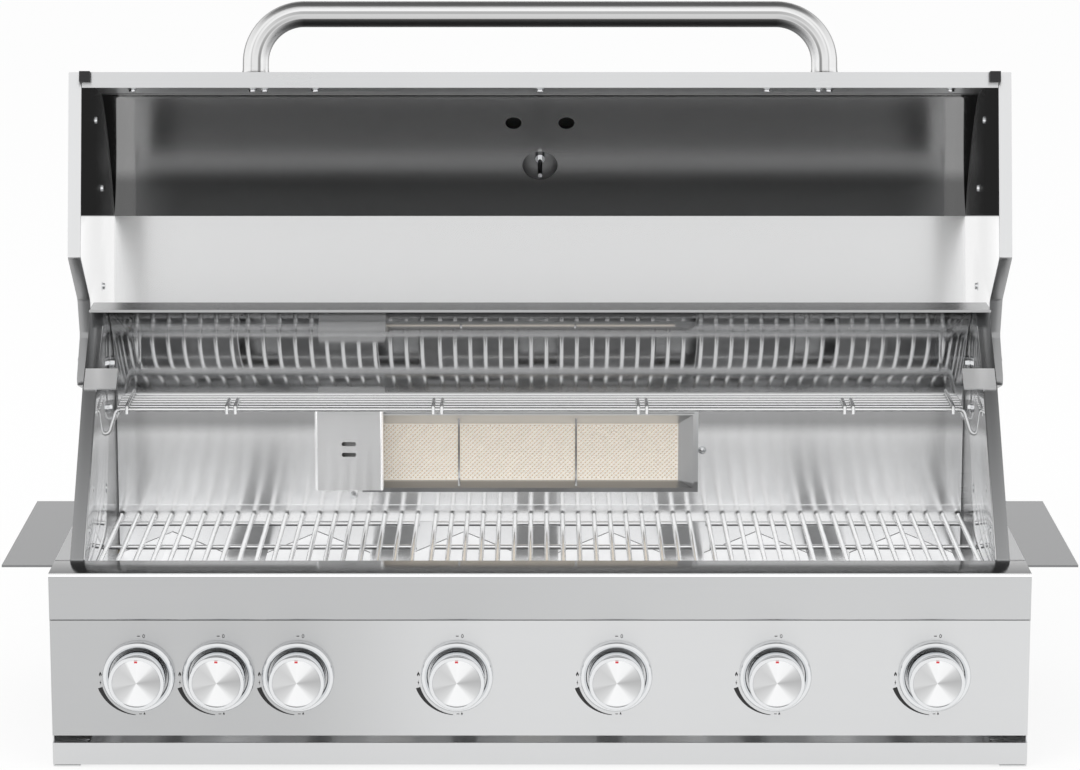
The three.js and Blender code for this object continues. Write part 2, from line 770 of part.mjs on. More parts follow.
// Warming rack: rods along the width on cross clips, its end legs sprung into the cheeks
function warmingRack() {
  const half = fireboxHalfWidth - rackSideGap;
  const tipX = fireboxHalfWidth + cheekWidth - rackEndInset;
  const pitch = rackDepth / (rackRodCount - 1);
  const plain = Array.from({ length: rackRodCount - 2 }, (_, i) => {
    const y = rackFrontY + (i + 1) * pitch;
    return rod(rackRodRadius, [-half, y, rackZ], [half, y, rackZ], rodSides);
  });
  const ends = [rackFrontY, rackRearY].flatMap((y) => bentRod(rackRodRadius, [
    [-tipX, y, rackLegZ],
    [-half - rackLegSplay, y, rackLegZ],
    [-half, y, rackZ],
    [half, y, rackZ],
    [half + rackLegSplay, y, rackLegZ],
    [tipX, y, rackLegZ],
  ]));
  const clipZ = rackZ - 2 * rackRodRadius + grateWeld;
  const clips = rackClipShares.map((share) => {
    const clipEnd = (y) => [share * half, y, clipZ];
    return rod(rackRodRadius, clipEnd(rackFrontY - pitch / 2), clipEnd(rackRearY + pitch / 2), crossSides);
  });
  return join([...plain, ...ends, ...clips]);
}
add('warming_rack', warmingRack(), rodSteel);

// Rear burner: a housing through the back wall, bevelled inwards to its ceramic tile
const infraFrontY = fireBackY - infraProud;
const infraBackY = fireBackY + infraBodyDepth;
const tileY = infraFrontY + infraTileRecess;
const tileLow = [infraLeft + infraSideBevel, infraZ + infraBottomBevel];
const tileHigh = [infraRight - infraSideBevel, infraTopZ - infraTopBevel];
function rearBurnerFrame() {
  const body = block([infraLeft, infraFrontY, infraZ], [infraRight, infraBackY, infraTopZ]);
  const flange = block(
    [infraLeft - infraFlange, fireBackY - fitGap - sheet, infraZ - infraFlange],
    [infraRight + infraFlange, fireBackY - fitGap, infraTopZ + infraFlange],
  );
  const taper = block(
    [infraLeft + sheet, infraFrontY, infraZ + sheet],
    [infraRight - sheet, tileY, infraTopZ - sheet],
  );
  const corners = taper.attributes.position;
  for (let i = 0; i < corners.count; i += 1) {
    if (corners.getY(i) > infraFrontY + infraTileRecess / 2) {
      const x = corners.getX(i) < infraX ? tileLow[0] : tileHigh[0];
      const z = corners.getZ(i) < infraZ + infraHeight / 2 ? tileLow[1] : tileHigh[1];
      corners.setXYZ(i, x, tileY, z);
    }
  }
  const seat = block(
    [tileLow[0], tileY - fitGap, tileLow[1]],
    [tileHigh[0], infraBackY - sheet, tileHigh[1]],
  );
  return cut(join([body, flange]), [taper, seat]);
}
add('rear_burner_frame', rearBurnerFrame(), polishedSteel);

function rearBurnerTile() {
  return block(
    [tileLow[0] + fitGap, tileY, tileLow[1] + fitGap],
    [tileHigh[0] - fitGap, tileY + infraTileThickness, tileHigh[1] - fitGap],
  );
}
add('rear_burner_tile', rearBurnerTile(), ceramic);

// Rear burner side cover: a slotted box over the burner's gas inlet, open at its back and notched
// where the burner's housing passes behind it
function rearBurnerCover() {
  const low = counterZ + coverRise;
  const high = low + coverHeight;
  const backY = fireBackY - fitGap;
  const frontY = backY - coverProud;
  const shell = block([coverLeftX, frontY, low], [coverRightX, backY, high]);
  const inside = block(
    [coverLeftX + sheet, frontY + sheet, low + sheet],
    [coverRightX - sheet, backY + cutOverrun, high - sheet],
  );
  const slotX = (coverLeftX + coverRightX) / 2;
  const slots = [-1, 1].map((place) => {
    const z = (low + high) / 2 + place * coverSlotPitch / 2;
    return block(
      [slotX - coverSlotLength / 2, frontY - cutOverrun, z - coverSlotHeight / 2],
      [slotX + coverSlotLength / 2, frontY + sheet + cutOverrun, z + coverSlotHeight / 2],
    );
  });
  const notch = block(
    [infraLeft - infraFlange - fitGap, infraFrontY - fitGap, low - cutOverrun],
    [coverRightX + cutOverrun, backY + cutOverrun, infraTopZ + infraFlange + fitGap],
  );
  return cut(shell, [inside, notch, ...slots]);
}
add('rear_burner_cover', rearBurnerCover(), polishedSteel);

// Rear burner gas pipe: up from its valve, along the left side and behind the firebox to the cover
function rearGasPipe() {
  const sideX = -(halfWidth - sheet - gasPipeSideGap);
  return join(bentRod(gasPipeRadius, [
    [rearKnobX, rearStubY, knobZ + rearValveStub + fitGap],
    [rearKnobX, rearStubY, gasPipeRise],
    [sideX, rearStubY, gasPipeRise],
    [sideX, gasPipeRearY, gasPipeRise],
    [gasPipeEndX, gasPipeRearY, gasPipeRise],
    [gasPipeEndX, gasPipeRearY, gasPipeTopZ],
    [gasPipeEndX, fireBackY - gasPipeInsert, gasPipeTopZ],
  ]));
}
add('rear_gas_pipe', rearGasPipe(), brass);

// Drip tray: a shallow pan with side lips on the runners, and its front strip
function dripTray() {
  const top = footClearance + trayFrontHeight;
  const low = footClearance + sheet;
  const panBackY = fireBackY;
  const front = block([-halfWidth, 0, footClearance], [halfWidth, 2 * sheet, top]);
  const pan = block([-trayHalfWidth, 0, low], [trayHalfWidth, panBackY, trayLipZ]);
  const lips = block(
    [-trayHalfWidth - trayLipWidth, sideBottomSetback, trayLipZ - sheet],
    [trayHalfWidth + trayLipWidth, panBackY, trayLipZ],
  );
  const inside = block(
    [-trayHalfWidth + sheet, 2 * sheet, low + sheet],
    [trayHalfWidth - sheet, panBackY - sheet, trayLipZ + cutOverrun],
  );
  return cut(join([front, pan, lips]), [inside]);
}
add('drip_tray', dripTray(), brushedSteel);

// Lid outlines in [depth, height] from the closed lip, then moved to the pivot
const roofAngle = Math.asin((lidCrownHeight - lidFaceHeight) / lidArcRadius);
const lidArcCentre = lidArcRadius;
const lidRear = [
  [lidDepth - lidCorner, lidHeight],
  [lidDepth, lidHeight - lidCorner],
  [lidDepth, lidHeight - lidBackDrop],
];
const lidFront = arc(lidArcCentre, lidFaceHeight, -lidArcRadius, lidArcRadius, 0, roofAngle);
const lidOuter = [[0, 0], ...lidFront, ...lidRear];
function fromPivot(points) {
  return points.map(([depth, height]) => [depth - pivotDepth, height - pivotHeight]);
}

// Lid skin: the outer shell, hemmed back along the rim
const skinHalf = lidWidth / 2 - lidEndThickness - fitGap;
function lidSkin() {
  const line = [[lidRim, 0], ...lidOuter];
  const shell = alongX(folded(fromPivot(line), -sheet), -skinHalf, skinHalf);
  const reach = [lidArcRadius - cutOverrun, lidArcRadius + cutOverrun];
  return cut(shell, [dialTool(boreRadius(dialNeckRadius), reach)]);
}

// A cutter along the radius of the lid's curve, at an angle above the straight face
function dialTool(radius, reach, angle = dialAngle, x = 0) {
  const turn = THREE.MathUtils.degToRad(angle);
  const at = (distance) => [
    x,
    lidArcCentre - distance * Math.cos(turn) - pivotDepth,
    lidFaceHeight + distance * Math.sin(turn) - pivotHeight,
  ];
  return rod(radius, at(reach[0]), at(reach[1]));
}

// Lid liner: the inner skin, flanged onto the lid's face, bowed up to a crease and nearly flat
// behind it
function lidLiner() {
  const start = new THREE.Vector2(2 * sheet + fitGap, lidFaceHeight - linerFlangeDrop);
  const crease = new THREE.Vector2(linerCreaseShare * lidArcRadius, lidHeight - linerCreaseDrop);
  const run = crease.clone().sub(start);
  const outward = new THREE.Vector2(-run.y, run.x).normalize();
  const bowed = Array.from({ length: arcSteps + 1 }, (_, i) => {
    const share = i / arcSteps;
    const bow = 4 * linerBulge * share * (1 - share);
    return [...start.clone().addScaledVector(run, share).addScaledVector(outward, bow)];
  });
  const line = [
    [start.x, start.y - linerFlange],
    ...bowed,
    [lidDepth - lidRim, lidHeight - linerRoofDrop],
    [lidDepth - lidRim, lidHeight - lidBackDrop],
  ];
  const shell = alongX(folded(fromPivot(line)), -skinHalf, skinHalf);
  const reach = [lidArcRadius / 2, lidArcRadius - cutOverrun];
  const holes = [
    dialTool(dialHoleRadius, reach),
    dialTool(sideHoleRadius, reach, sideHoleAngle, -sideHoleSpacing / 2),
    dialTool(sideHoleRadius, reach, sideHoleAngle, sideHoleSpacing / 2),
  ];
  return cut(shell, holes);
}

// Lid ends: hollow side walls with an ear around the pivot and a slot that opens their hollow
function lidEnd(side) {
  const pivot = [pivotDepth, pivotHeight];
  const outline = [
    ...[...lidOuter].reverse(),
    [pivot[0] - earFrontReach, 0],
    [pivot[0] - earKnee[0], pivot[1] - earKnee[1]],
    [pivot[0] - earHeel[0], pivot[1] - earHeel[1]],
    [pivot[0] + earToe[0], pivot[1] - earToe[1]],
  ];
  const outer = lidWidth / 2;
  const inner = outer - lidEndThickness;
  const span = (low, high) => (side < 0 ? [-high, -low] : [low, high]);
  const body = alongX(fromPivot(outline), ...span(inner, outer));
  const inset = offsetLine([...outline, outline[0], outline[1]], sheet).slice(1, -1);
  const hollow = alongX(fromPivot(inset), ...span(inner + sheet, outer - sheet));
  const slot = alongX(fromPivot([
    [lidDepth - cutOverrun, lidHeight - lidBackDrop],
    [lidDepth + cutOverrun, lidHeight - lidBackDrop],
    [lidDepth + cutOverrun, lidHeight - lidBackDrop / 2],
    [lidDepth - cutOverrun, lidHeight - lidBackDrop / 2],
  ]), ...span(inner + 2 * sheet, outer - 2 * sheet));
  const boss = rod(pivotHeadRadius, [span(inner, outer)[0], 0, 0], [span(inner, outer)[1], 0, 0]);
  const [low, high] = span(inner - cutOverrun, outer + cutOverrun);
  const bore = rod(boreRadius(pivotPinRadius), [low, 0, 0], [high, 0, 0]);
  return cut(join([cut(body, [hollow, slot]), boss]), [bore]);
}

// Bumpers: rubber pads under the lip that meet the front rail when the lid is shut
function lidBumper(side) {
  const outer = lidWidth / 2 - bumperSideInset;
  const span = side < 0 ? [-outer, -outer + bumperSize] : [outer - bumperSize, outer];
  const outline = [
    [0, -bumperHeight - fitGap],
    [bumperSize, -bumperHeight - fitGap],
    [bumperSize, -fitGap],
    [0, -fitGap],
  ];
  return alongX(fromPivot(outline), ...span);
}

// Handle: one bent tube with a flare where each leg meets the lid's face
class HandlePath extends THREE.CurvePath {
  constructor() {
    super();
    const half = handleSpan / 2;
    const bendY = handleBend - handleStandoff;
    const legStart = -pivotDepth - fitGap;
    const z = handleRise - pivotHeight;
    const at = (x, y) => new THREE.Vector3(x, legStart + y, z);
    const bend = (side, from, to) => (
      new THREE.QuadraticBezierCurve3(from, at(side * half, -handleStandoff), to)
    );
    const leftBase = at(-half, bendY);
    const rightBase = at(half, bendY);
    const leftTop = at(-half + handleBend, -handleStandoff);
    const rightTop = at(half - handleBend, -handleStandoff);
    this.add(new THREE.LineCurve3(at(-half, 0), leftBase));
    this.add(bend(-1, leftBase, leftTop));
    this.add(new THREE.LineCurve3(leftTop, rightTop));
    this.add(bend(1, rightTop, rightBase));
    this.add(new THREE.LineCurve3(rightBase, at(half, 0)));
  }
}

function lidHandle() {
  const section = new THREE.Shape();
  section.absarc(0, 0, handleRadius, 0, 2 * Math.PI, false);
  const tube = new THREE.ExtrudeGeometry(section, {
    steps: handleSteps,
    curveSegments: rodSides,
    extrudePath: new HandlePath(),
    bevelEnabled: false,
  });
  const z = handleRise - pivotHeight;
  const legStart = -pivotDepth - fitGap;
  const flares = [-1, 1].map((side) => (
    turned([
      [0, -handleFlareLength],
      [handleRadius, -handleFlareLength],
      [handleFlareRadius, -handleFlareLength / 2],
      [handleFlareRadius, 0],
      [0, 0],
    ]).translate(side * handleSpan / 2, legStart, z)
  ));
  return join([tube, ...flares]);
}

// Thermometer: a dial outside the lid with a neck through the skin and a probe inside
function thermometer() {
  return turned([
    [0, -probeLength],
    [probeRadius, -probeLength],
    [probeRadius, -lidRim],
    [dialNeckRadius, -lidRim],
    [dialNeckRadius, fitGap],
    [dialRadius, fitGap],
    [dialRadius, dialDepth],
    [0, dialDepth],
  ]);
}

add('lid_skin', lidSkin(), brushedSteel, lid);
add('lid_liner', lidLiner(), linerSteel, lid);
add('left_lid_end', lidEnd(-1), brushedSteel, lid);
add('right_lid_end', lidEnd(1), brushedSteel, lid);
add('left_lid_bumper', lidBumper(-1), rubber, lid);
add('right_lid_bumper', lidBumper(1), rubber, lid);
add('lid_handle', lidHandle(), chrome, lid);
const dial = add('thermometer', thermometer(), chrome, lid);
const dialTurn = THREE.MathUtils.degToRad(dialAngle);
dial.position.set(
  0,
  lidArcCentre - lidArcRadius * Math.cos(dialTurn) - pivotDepth,
  lidFaceHeight + lidArcRadius * Math.sin(dialTurn) - pivotHeight,
);
dial.rotation.x = Math.PI - dialTurn;

// The origin is under the middle of the part as it stands, on the plane it rests on
const bounds = new THREE.Box3().setFromObject(grill, true);
const middle = bounds.getCenter(new THREE.Vector3());
grill.position.set(-middle.x, -middle.y, -bounds.min.z);
grill.updateMatrixWorld(true);

export default grill;
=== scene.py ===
import json
import math

import bmesh
import bpy
from bpy.props import FloatProperty, FloatVectorProperty, IntProperty, PointerProperty
from mathutils import Matrix, Vector


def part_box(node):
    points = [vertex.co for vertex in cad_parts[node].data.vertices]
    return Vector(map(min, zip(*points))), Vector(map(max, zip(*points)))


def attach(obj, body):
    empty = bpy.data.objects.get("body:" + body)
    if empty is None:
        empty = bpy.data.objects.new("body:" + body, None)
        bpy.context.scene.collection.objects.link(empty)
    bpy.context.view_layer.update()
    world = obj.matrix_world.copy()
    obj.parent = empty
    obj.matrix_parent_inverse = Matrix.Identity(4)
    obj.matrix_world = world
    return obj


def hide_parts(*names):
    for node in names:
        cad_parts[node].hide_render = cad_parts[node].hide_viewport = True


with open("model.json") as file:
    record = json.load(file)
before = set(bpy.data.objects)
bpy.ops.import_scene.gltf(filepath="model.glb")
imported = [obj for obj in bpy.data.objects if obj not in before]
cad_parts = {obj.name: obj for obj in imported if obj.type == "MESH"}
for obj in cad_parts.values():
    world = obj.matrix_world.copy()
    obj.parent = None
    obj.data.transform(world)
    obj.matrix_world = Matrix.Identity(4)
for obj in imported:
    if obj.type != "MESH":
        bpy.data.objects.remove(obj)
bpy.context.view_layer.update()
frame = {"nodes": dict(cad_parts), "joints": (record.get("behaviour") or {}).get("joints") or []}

bl_info = {
    "name": "Built-in grill dresser",
    "version": (1, 0, 0),
    "blender": (4, 5, 0),
    "location": "3D View > Sidebar > Grill",
    "description": "Gives the packed grill its fine shapes, finishes, stage and camera",
    "category": "Object",
}


# Places read from the frame
def low(name):
    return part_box(name)[0]


def high(name):
    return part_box(name)[1]


def round_box(name):
    """Centre, radius, front and rear Y of a round solid that faces forward"""
    a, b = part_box(name)
    return Vector(((a.x + b.x) / 2, 0, (a.z + b.z) / 2)), (b.z - a.z) / 2, a.y, b.y


KNOB_COUNT = sum(1 for name in frame["nodes"] if name.startswith("burner_knob_"))
BURNER_COUNT = sum(1 for name in frame["nodes"] if name.startswith("main_burner_"))
HALF_WIDTH = high("front_rail").x
FRONT_Y = low("front_rail").y
COUNTER_Z = high("front_rail").z
PANEL_Y = low("control_panel").y
WALL_Y = high("firebox_back").y
CHEEK_X = low("right_cheek").x
LID_JOINT = next(joint for joint in frame["joints"] if joint["name"] == "lid_hinge")
LID_PIVOT = Vector(LID_JOINT["pos_m"])
LID_OPEN = math.radians(LID_JOINT["range_deg"][1])
FORWARD = Vector((0, -1, 0))
GAP = 0.0003


def length(name, default, description):
    return FloatProperty(name=name, default=default, description=description, unit="LENGTH", precision=5)


def colour(name, default, description):
    return FloatVectorProperty(name=name, default=default, description=description,
                               subtype="COLOR", size=3, min=0, max=1)


class GrillSizes(bpy.types.PropertyGroup):
    """Sizes of the fine shapes"""

    sheet: length("Sheet", 0.0015, "Thickness of the folded steel")
    bend: length("Bend", 0.0014, "Inside radius of the folds")
    lip: length("Rail lip", 0.050, "Drop of the front rail into the firebox")
    band_return: length("Band return", 0.022, "Depth of the fold under the front band")
    rod_radius: length("Grate rod", 0.003, "Radius of the grate rods")
    rod_sides: IntProperty(name="Rod sides", default=12, description="Facets round a thin rod")
    round_sides: IntProperty(name="Round sides", default=96, description="Facets round a knob or bezel")
    rack_radius: length("Rack rod", 0.0025, "Radius of the warming rack's rods")
    rack_bend: length("Rack bend", 0.007, "Bend radius of the rack's legs")
    clip_gap: length("Clip gap", 0.010, "Distance between the two rods of a rack clip")
    handle_radius: length("Handle", 0.015, "Radius of the handle's tube")
    handle_bend: length("Handle bend", 0.056, "Bend radius of the handle")
    handle_rise: length("Handle rise", 0.040, "Height of the handle above the closed lid's rim")
    print_height: length("Print", 0.0002, "Height of the printed marks")
    mark_radius: length("Mark circle", 0.0455, "Radius of the circle that the printed marks follow")
    lid_rim: length("Lid rim", 0.018, "Width of the lid's folded rim")
    lid_face: length("Lid face", 0.205, "Height of the lid's straight front")
    lid_crown: length("Lid crown", 0.355, "Height at which the lid's curve ends")
    lid_arc: length("Lid arc", 0.1505, "Radius of the lid's curved front")
    lid_height: length("Lid height", 0.366, "Height of the closed lid")
    lid_depth: length("Lid depth", 0.360, "Depth of the closed lid")
    lid_back: length("Lid back", 0.104, "Drop of the lid's rear edge")
    lip_to_pivot: length("Lip to pivot", 0.326, "Depth of the hinge behind the closed lid's lip")
    rim_to_pivot: length("Rim to pivot", 0.1537, "Height of the hinge above the closed lid's rim")
    liner_flange: length("Liner flange", 0.014, "Height of the liner's flange on the lid's face")
    flange_drop: length("Flange drop", 0.001, "Distance of the flange below the curve's start")
    liner_bulge: length("Liner bulge", 0.012, "Rise of the liner's bowed front over a straight line")
    crease: length("Crease", 0.135, "Depth of the liner's crease behind the lip")
    crease_drop: length("Crease drop", 0.024, "Distance of the crease below the lid's top")
    roof_drop: length("Roof drop", 0.020, "Distance of the liner's rear edge below the lid's top")
    tile_pitch: length("Tile pitch", 0.0053, "Distance between the holes of the ceramic tile")


class GrillFinishes(bpy.types.PropertyGroup):
    """Colours of the finishes"""

    steel: colour("Brushed steel", (0.64, 0.645, 0.65), "Front panels and lid")
    # The firebox wall's colour gets painted light and shade: lighter below, darker above, with a glow
    wall: colour("Wall steel", (0.80, 0.802, 0.805), "Firebox wall")
    # The hood is a darker copy of the wall's steel: painted shade
    hood: colour("Hood steel", (0.63, 0.632, 0.635), "Curved hood above the firebox wall")
    polished: colour("Polished steel", (0.78, 0.785, 0.79), "Rear burner's frame, straps and lid ends")
    # Pale steel is painted light: a lighter copy of the steel on the ledges, and a painted highlight on the
    # folds
    pale: colour("Pale steel", (0.95, 0.952, 0.955), "Ledges and bright folds")
    # The hangers: a darker copy of the steel, painted shade
    shaded: colour("Satin steel", (0.24, 0.243, 0.246), "Hangers")
    # The cheeks' folds: a darker copy of the steel, painted shade
    flange: colour("Flange steel", (0.34, 0.343, 0.346), "Folds of the cheeks")
    # The liner's curve and roof are one steel in a dark and a light copy: painted shade and painted light
    liner_dark: colour("Liner curve", (0.30, 0.30, 0.30), "Curved part of the lid's liner")
    liner_light: colour("Liner roof", (0.86, 0.862, 0.865), "Flat part of the lid's liner")
    chrome: colour("Chrome", (0.80, 0.81, 0.82), "Bezels, knobs and small fasteners")
    rod: colour("Rod", (0.93, 0.932, 0.935), "Cooking grates")
    ceramic: colour("Ceramic", (0.95, 0.88, 0.78), "Rear burner's tile")
    brass: colour("Brass", (0.55, 0.42, 0.20), "Manifold and pipe")
    rubber: colour("Rubber", (0.012, 0.012, 0.013), "Lid bumpers")
    ink: colour("Ink", (0.012, 0.012, 0.012), "Printed marks")
    red: colour("Red mark", (0.60, 0.03, 0.04), "Pointer on each knob")


# Node trees
def feed(tree, made, sockets):
    """Sets a node's inputs, by name or number, to values or to other nodes' outputs"""
    for key, value in sockets.items():
        if isinstance(value, bpy.types.NodeSocket):
            tree.links.new(value, made.inputs[key])
        else:
            made.inputs[key].default_value = value
    return made


def node(tree, kind, sockets=None, **settings):
    """A new node with its settings and inputs"""
    made = tree.nodes.new(kind)
    for name, value in settings.items():
        setattr(made, name, value)
    return feed(tree, made, sockets or {})


def calc(tree, operation, *terms):
    """What a Math node makes of sockets and numbers"""
    return node(tree, "ShaderNodeMath", dict(enumerate(terms)), operation=operation).outputs[0]


def scaled(tree, vector, factor):
    """A colour or vector times a number"""
    return node(tree, "ShaderNodeVectorMath", {0: vector, "Scale": factor}, operation="SCALE").outputs[0]


def dot(tree, vector, direction):
    """The distance of a place along a direction"""
    product = node(tree, "ShaderNodeVectorMath", {0: vector, 1: direction}, operation="DOT_PRODUCT")
    return product.outputs["Value"]


def ramp(tree, value, start, end, before, after):
    """A number that changes smoothly while the value goes from start to end"""
    sockets = {"Value": value, "From Min": start, "From Max": end, "To Min": before, "To Max": after}
    return node(tree, "ShaderNodeMapRange", sockets, interpolation_type="SMOOTHSTEP").outputs[0]


def colour_ramp(tree, value, stops):
    """A colour that follows the value through (place, colour) stops"""
    made = node(tree, "ShaderNodeValToRGB", {0: value})
    elements = made.color_ramp.elements
    while len(elements) < len(stops):
        elements.new(0.5)
    for element, (at, shade) in zip(elements, stops):
        element.position = at
        element.color = (*shade, 1)
    return made.outputs[0]


def place_on(tree, kind="Object"):
    return node(tree, "ShaderNodeTexCoord").outputs[kind]


def relief(tree, height, strength, distance=0.0002):
    sockets = {"Strength": strength, "Distance": distance, "Height": height}
    return node(tree, "ShaderNodeBump", sockets).outputs[0]


def disc_place(tree):
    """The two shares that a piece keeps for each corner, and the same as one vector"""
    place = node(tree, "ShaderNodeUVMap", uv_map="disc").outputs[0]
    split = node(tree, "ShaderNodeSeparateXYZ", {0: place}).outputs
    return split["X"], split["Y"], place


def steel_group():
    """Steel's grain and smudges: colour, roughness and height that change over the surface"""
    name = "Steel surface"
    if name in bpy.data.node_groups:
        return bpy.data.node_groups[name]
    tree = bpy.data.node_groups.new(name, "ShaderNodeTree")
    for way, kind, labels in (("INPUT", "Color", ("Colour",)),
                              ("INPUT", "Vector", ("Grain scale", "Smudge scale")),
                              ("INPUT", "Float", ("Grain", "Smudge", "Roughness")),
                              ("OUTPUT", "Color", ("Colour",)),
                              ("OUTPUT", "Float", ("Roughness", "Height"))):
        for label in labels:
            tree.interface.new_socket(label, in_out=way, socket_type=f"NodeSocket{kind}")
    given = node(tree, "NodeGroupInput").outputs
    place = place_on(tree)

    def noise(scale, detail):
        stretch = node(tree, "ShaderNodeVectorMath", {0: place, 1: given[scale]}, operation="MULTIPLY")
        sockets = {"Vector": stretch.outputs[0], "Scale": 1, "Detail": detail}
        return node(tree, "ShaderNodeTexNoise", sockets).outputs[0]

    def swing(texture, share):
        return calc(tree, "MULTIPLY", calc(tree, "SUBTRACT", texture, 0.5), share)

    grain = noise("Grain scale", 3)
    smudge = noise("Smudge scale", 2)
    shade = calc(tree, "ADD", swing(grain, given["Grain"]), swing(smudge, given["Smudge"]))
    rough_share = 0.35
    rough = calc(tree, "ADD", calc(tree, "MULTIPLY", shade, rough_share), given["Roughness"])
    tint = scaled(tree, given["Colour"], calc(tree, "ADD", shade, 1.0))
    node(tree, "NodeGroupOutput", {"Colour": tint, "Roughness": rough, "Height": grain})
    return tree


# Materials
def blank_material(name, metallic):
    material = bpy.data.materials.new(name)
    material.use_nodes = True
    tree = material.node_tree
    return tree, feed(tree, tree.nodes["Principled BSDF"], {"Metallic": metallic})


def metal(name, tint, roughness, grain_scale, grain, smudge, smudge_scale, bump=0.0, anisotropy=0.0,
          painted_fade=None, glow=0.0, painted_sheen=0.0, dark_edge=False):
    """A steel, chrome or brass finish whose grain is stretched by its scale

    The painted light and shade is given as a direction, the two distances along it between which the
    brightness changes, and the brightness before and after them. A painted glow brightens faces seen at a
    low angle.
    """
    tree, shader = blank_material(name, 1.0)
    surface = node(tree, "ShaderNodeGroup", {
        "Colour": (*tint, 1), "Grain scale": grain_scale, "Grain": grain, "Smudge scale": smudge_scale,
        "Smudge": smudge, "Roughness": roughness}, node_tree=steel_group()).outputs
    shown = surface["Colour"]
    # Painted light and shade: the colour is scaled along a direction
    if painted_fade:
        direction, *steps = painted_fade
        shown = scaled(tree, shown, ramp(tree, dot(tree, place_on(tree), direction), *steps))
    feed(tree, shader, {"Base Color": shown, "Roughness": surface["Roughness"]})
    lit = shown
    if painted_sheen:
        slant = node(tree, "ShaderNodeLayerWeight", {0: 0.5}).outputs["Facing"]
        sheen_start, sheen_end = 0.5, 0.7
        lit = scaled(tree, shown, ramp(tree, slant, sheen_start, sheen_end, 0.0, 1.0))
    # The emission is a painted glow on a part that is no lamp
    if glow or painted_sheen:
        feed(tree, shader, {"Emission Color": lit, "Emission Strength": glow or painted_sheen})
    if dark_edge:
        feed(tree, shader, {"Specular Tint": (0, 0, 0, 1)})
    if bump:
        feed(tree, shader, {"Normal": relief(tree, surface["Height"], bump)})
    if anisotropy:
        across_grain = node(tree, "ShaderNodeTangent", direction_type="RADIAL", axis="X").outputs[0]
        feed(tree, shader, {"Anisotropic": anisotropy, "Tangent": across_grain})


def matte(name, tint, roughness, spread, scale):
    """Rubber, paint or ink with a slightly mottled colour and relief"""
    tree, shader = blank_material(name, 0.0)
    speckle = node(tree, "ShaderNodeTexNoise", {"Scale": scale, "Vector": place_on(tree)}).outputs[0]
    stops = ((0, [c * (1 - spread) for c in tint]), (1, [min(1, c * (1 + spread)) for c in tint]))
    feed(tree, shader, {"Roughness": roughness, "Base Color": colour_ramp(tree, speckle, stops),
                        "Normal": relief(tree, speckle, 0.2)})


# Shares of a full turn, from straight up and clockwise, with the brightness of the painted reflection there
DISC_PAINTED_REFLECTION_SHARES = ((0.00, 1.00), (0.11, 0.95), (0.15, 0.70), (0.23, 0.50), (0.27, 0.56), (0.34, 0.72),
                     (0.40, 0.98), (0.56, 1.00), (0.61, 0.74), (0.70, 0.60), (0.73, 0.72), (0.86, 0.66),
                     (0.92, 0.74), (0.94, 0.98))


def turned_steel(name, tint):
    """The knobs' turned faces: fine rings, and the fan of light that turned steel shows, painted into the
    colour as a painted reflection
    """
    tree, shader = blank_material(name, 1.0)
    x, y, place = disc_place(tree)
    share = calc(tree, "DIVIDE", calc(tree, "ARCTAN2", x, y), 2 * math.pi)
    stops = [(at, [min(1, c * shine) for c in tint]) for at, shine in DISC_PAINTED_REFLECTION_SHARES]
    # Painted reflection: bright and grey wedges round the face
    fan = colour_ramp(tree, calc(tree, "WRAP", share, 1.0, 0.0), stops)
    radius = node(tree, "ShaderNodeVectorMath", {0: place}, operation="LENGTH").outputs["Value"]
    ring_turns = 160
    rings = calc(tree, "SINE", calc(tree, "MULTIPLY", radius, ring_turns))
    feed(tree, shader, {"Base Color": fan, "Normal": relief(tree, rings, 0.08, 0.0001), "Roughness": 0.3})


# Shares across the handle's tube, from its inner to its outer side, with the brightness of the painted
# reflection there
BAR_PAINTED_REFLECTION = ((0.0, 0.07), (0.24, 0.08), (0.27, 0.60), (0.42, 0.66), (0.45, 0.44), (0.53, 0.46),
             (0.56, 0.95), (0.72, 0.90), (0.76, 0.46), (0.97, 0.52), (1.0, 0.25))
LEG_PAINTED_REFLECTION = ((0.0, 0.15), (0.04, 0.95), (0.26, 0.95), (0.30, 0.28), (0.36, 0.30), (0.40, 0.80),
             (0.60, 0.80), (0.64, 0.55), (0.68, 0.90), (0.92, 0.90), (0.96, 0.20))


def painted_reflection_tube(name, bands):
    """The handle: a painted reflection, light and dark bands that follow the tube, other ones on its legs
    than on its bar
    """
    tree, shader = blank_material(name, 1.0)
    across, leg_share, _ = disc_place(tree)
    bar, leg = [colour_ramp(tree, across, [(at, [shade] * 3) for at, shade in band]) for band in bands]
    first_colour, second_colour, mixed_colour = 6, 7, 2
    mix = node(tree, "ShaderNodeMix", {"Factor": leg_share, first_colour: bar, second_colour: leg},
               data_type="RGBA")
    feed(tree, shader, {"Base Color": mix.outputs[mixed_colour], "Roughness": 0.35})


def pitted_ceramic(name, tint, hole_shade_shares, glow):
    """The tile: pale ceramic with painted shade in its holes, from the depth kept on its corners, and a
    painted glow
    """
    tree, shader = blank_material(name, 0.0)
    depth = node(tree, "ShaderNodeAttribute", attribute_name="pit").outputs["Fac"]
    shade = colour_ramp(tree, depth, ((0, tint), (1, [c * share for c, share in zip(tint, hole_shade_shares)])))
    feed(tree, shader, {"Base Color": shade, "Emission Color": shade, "Emission Strength": glow,
                        "Roughness": 0.85})


ALONG_X = (6, 500, 500)
ACROSS = (4, 4, 1)
FINE = (4, 300, 300)
ROUND = (60, 60, 60)
SLOW = (2.2, 2, 0.8)
RIGHT = (1, 0, 0)
UP = (0, 0, 1)
LEAN = (0, 0.161, 1)
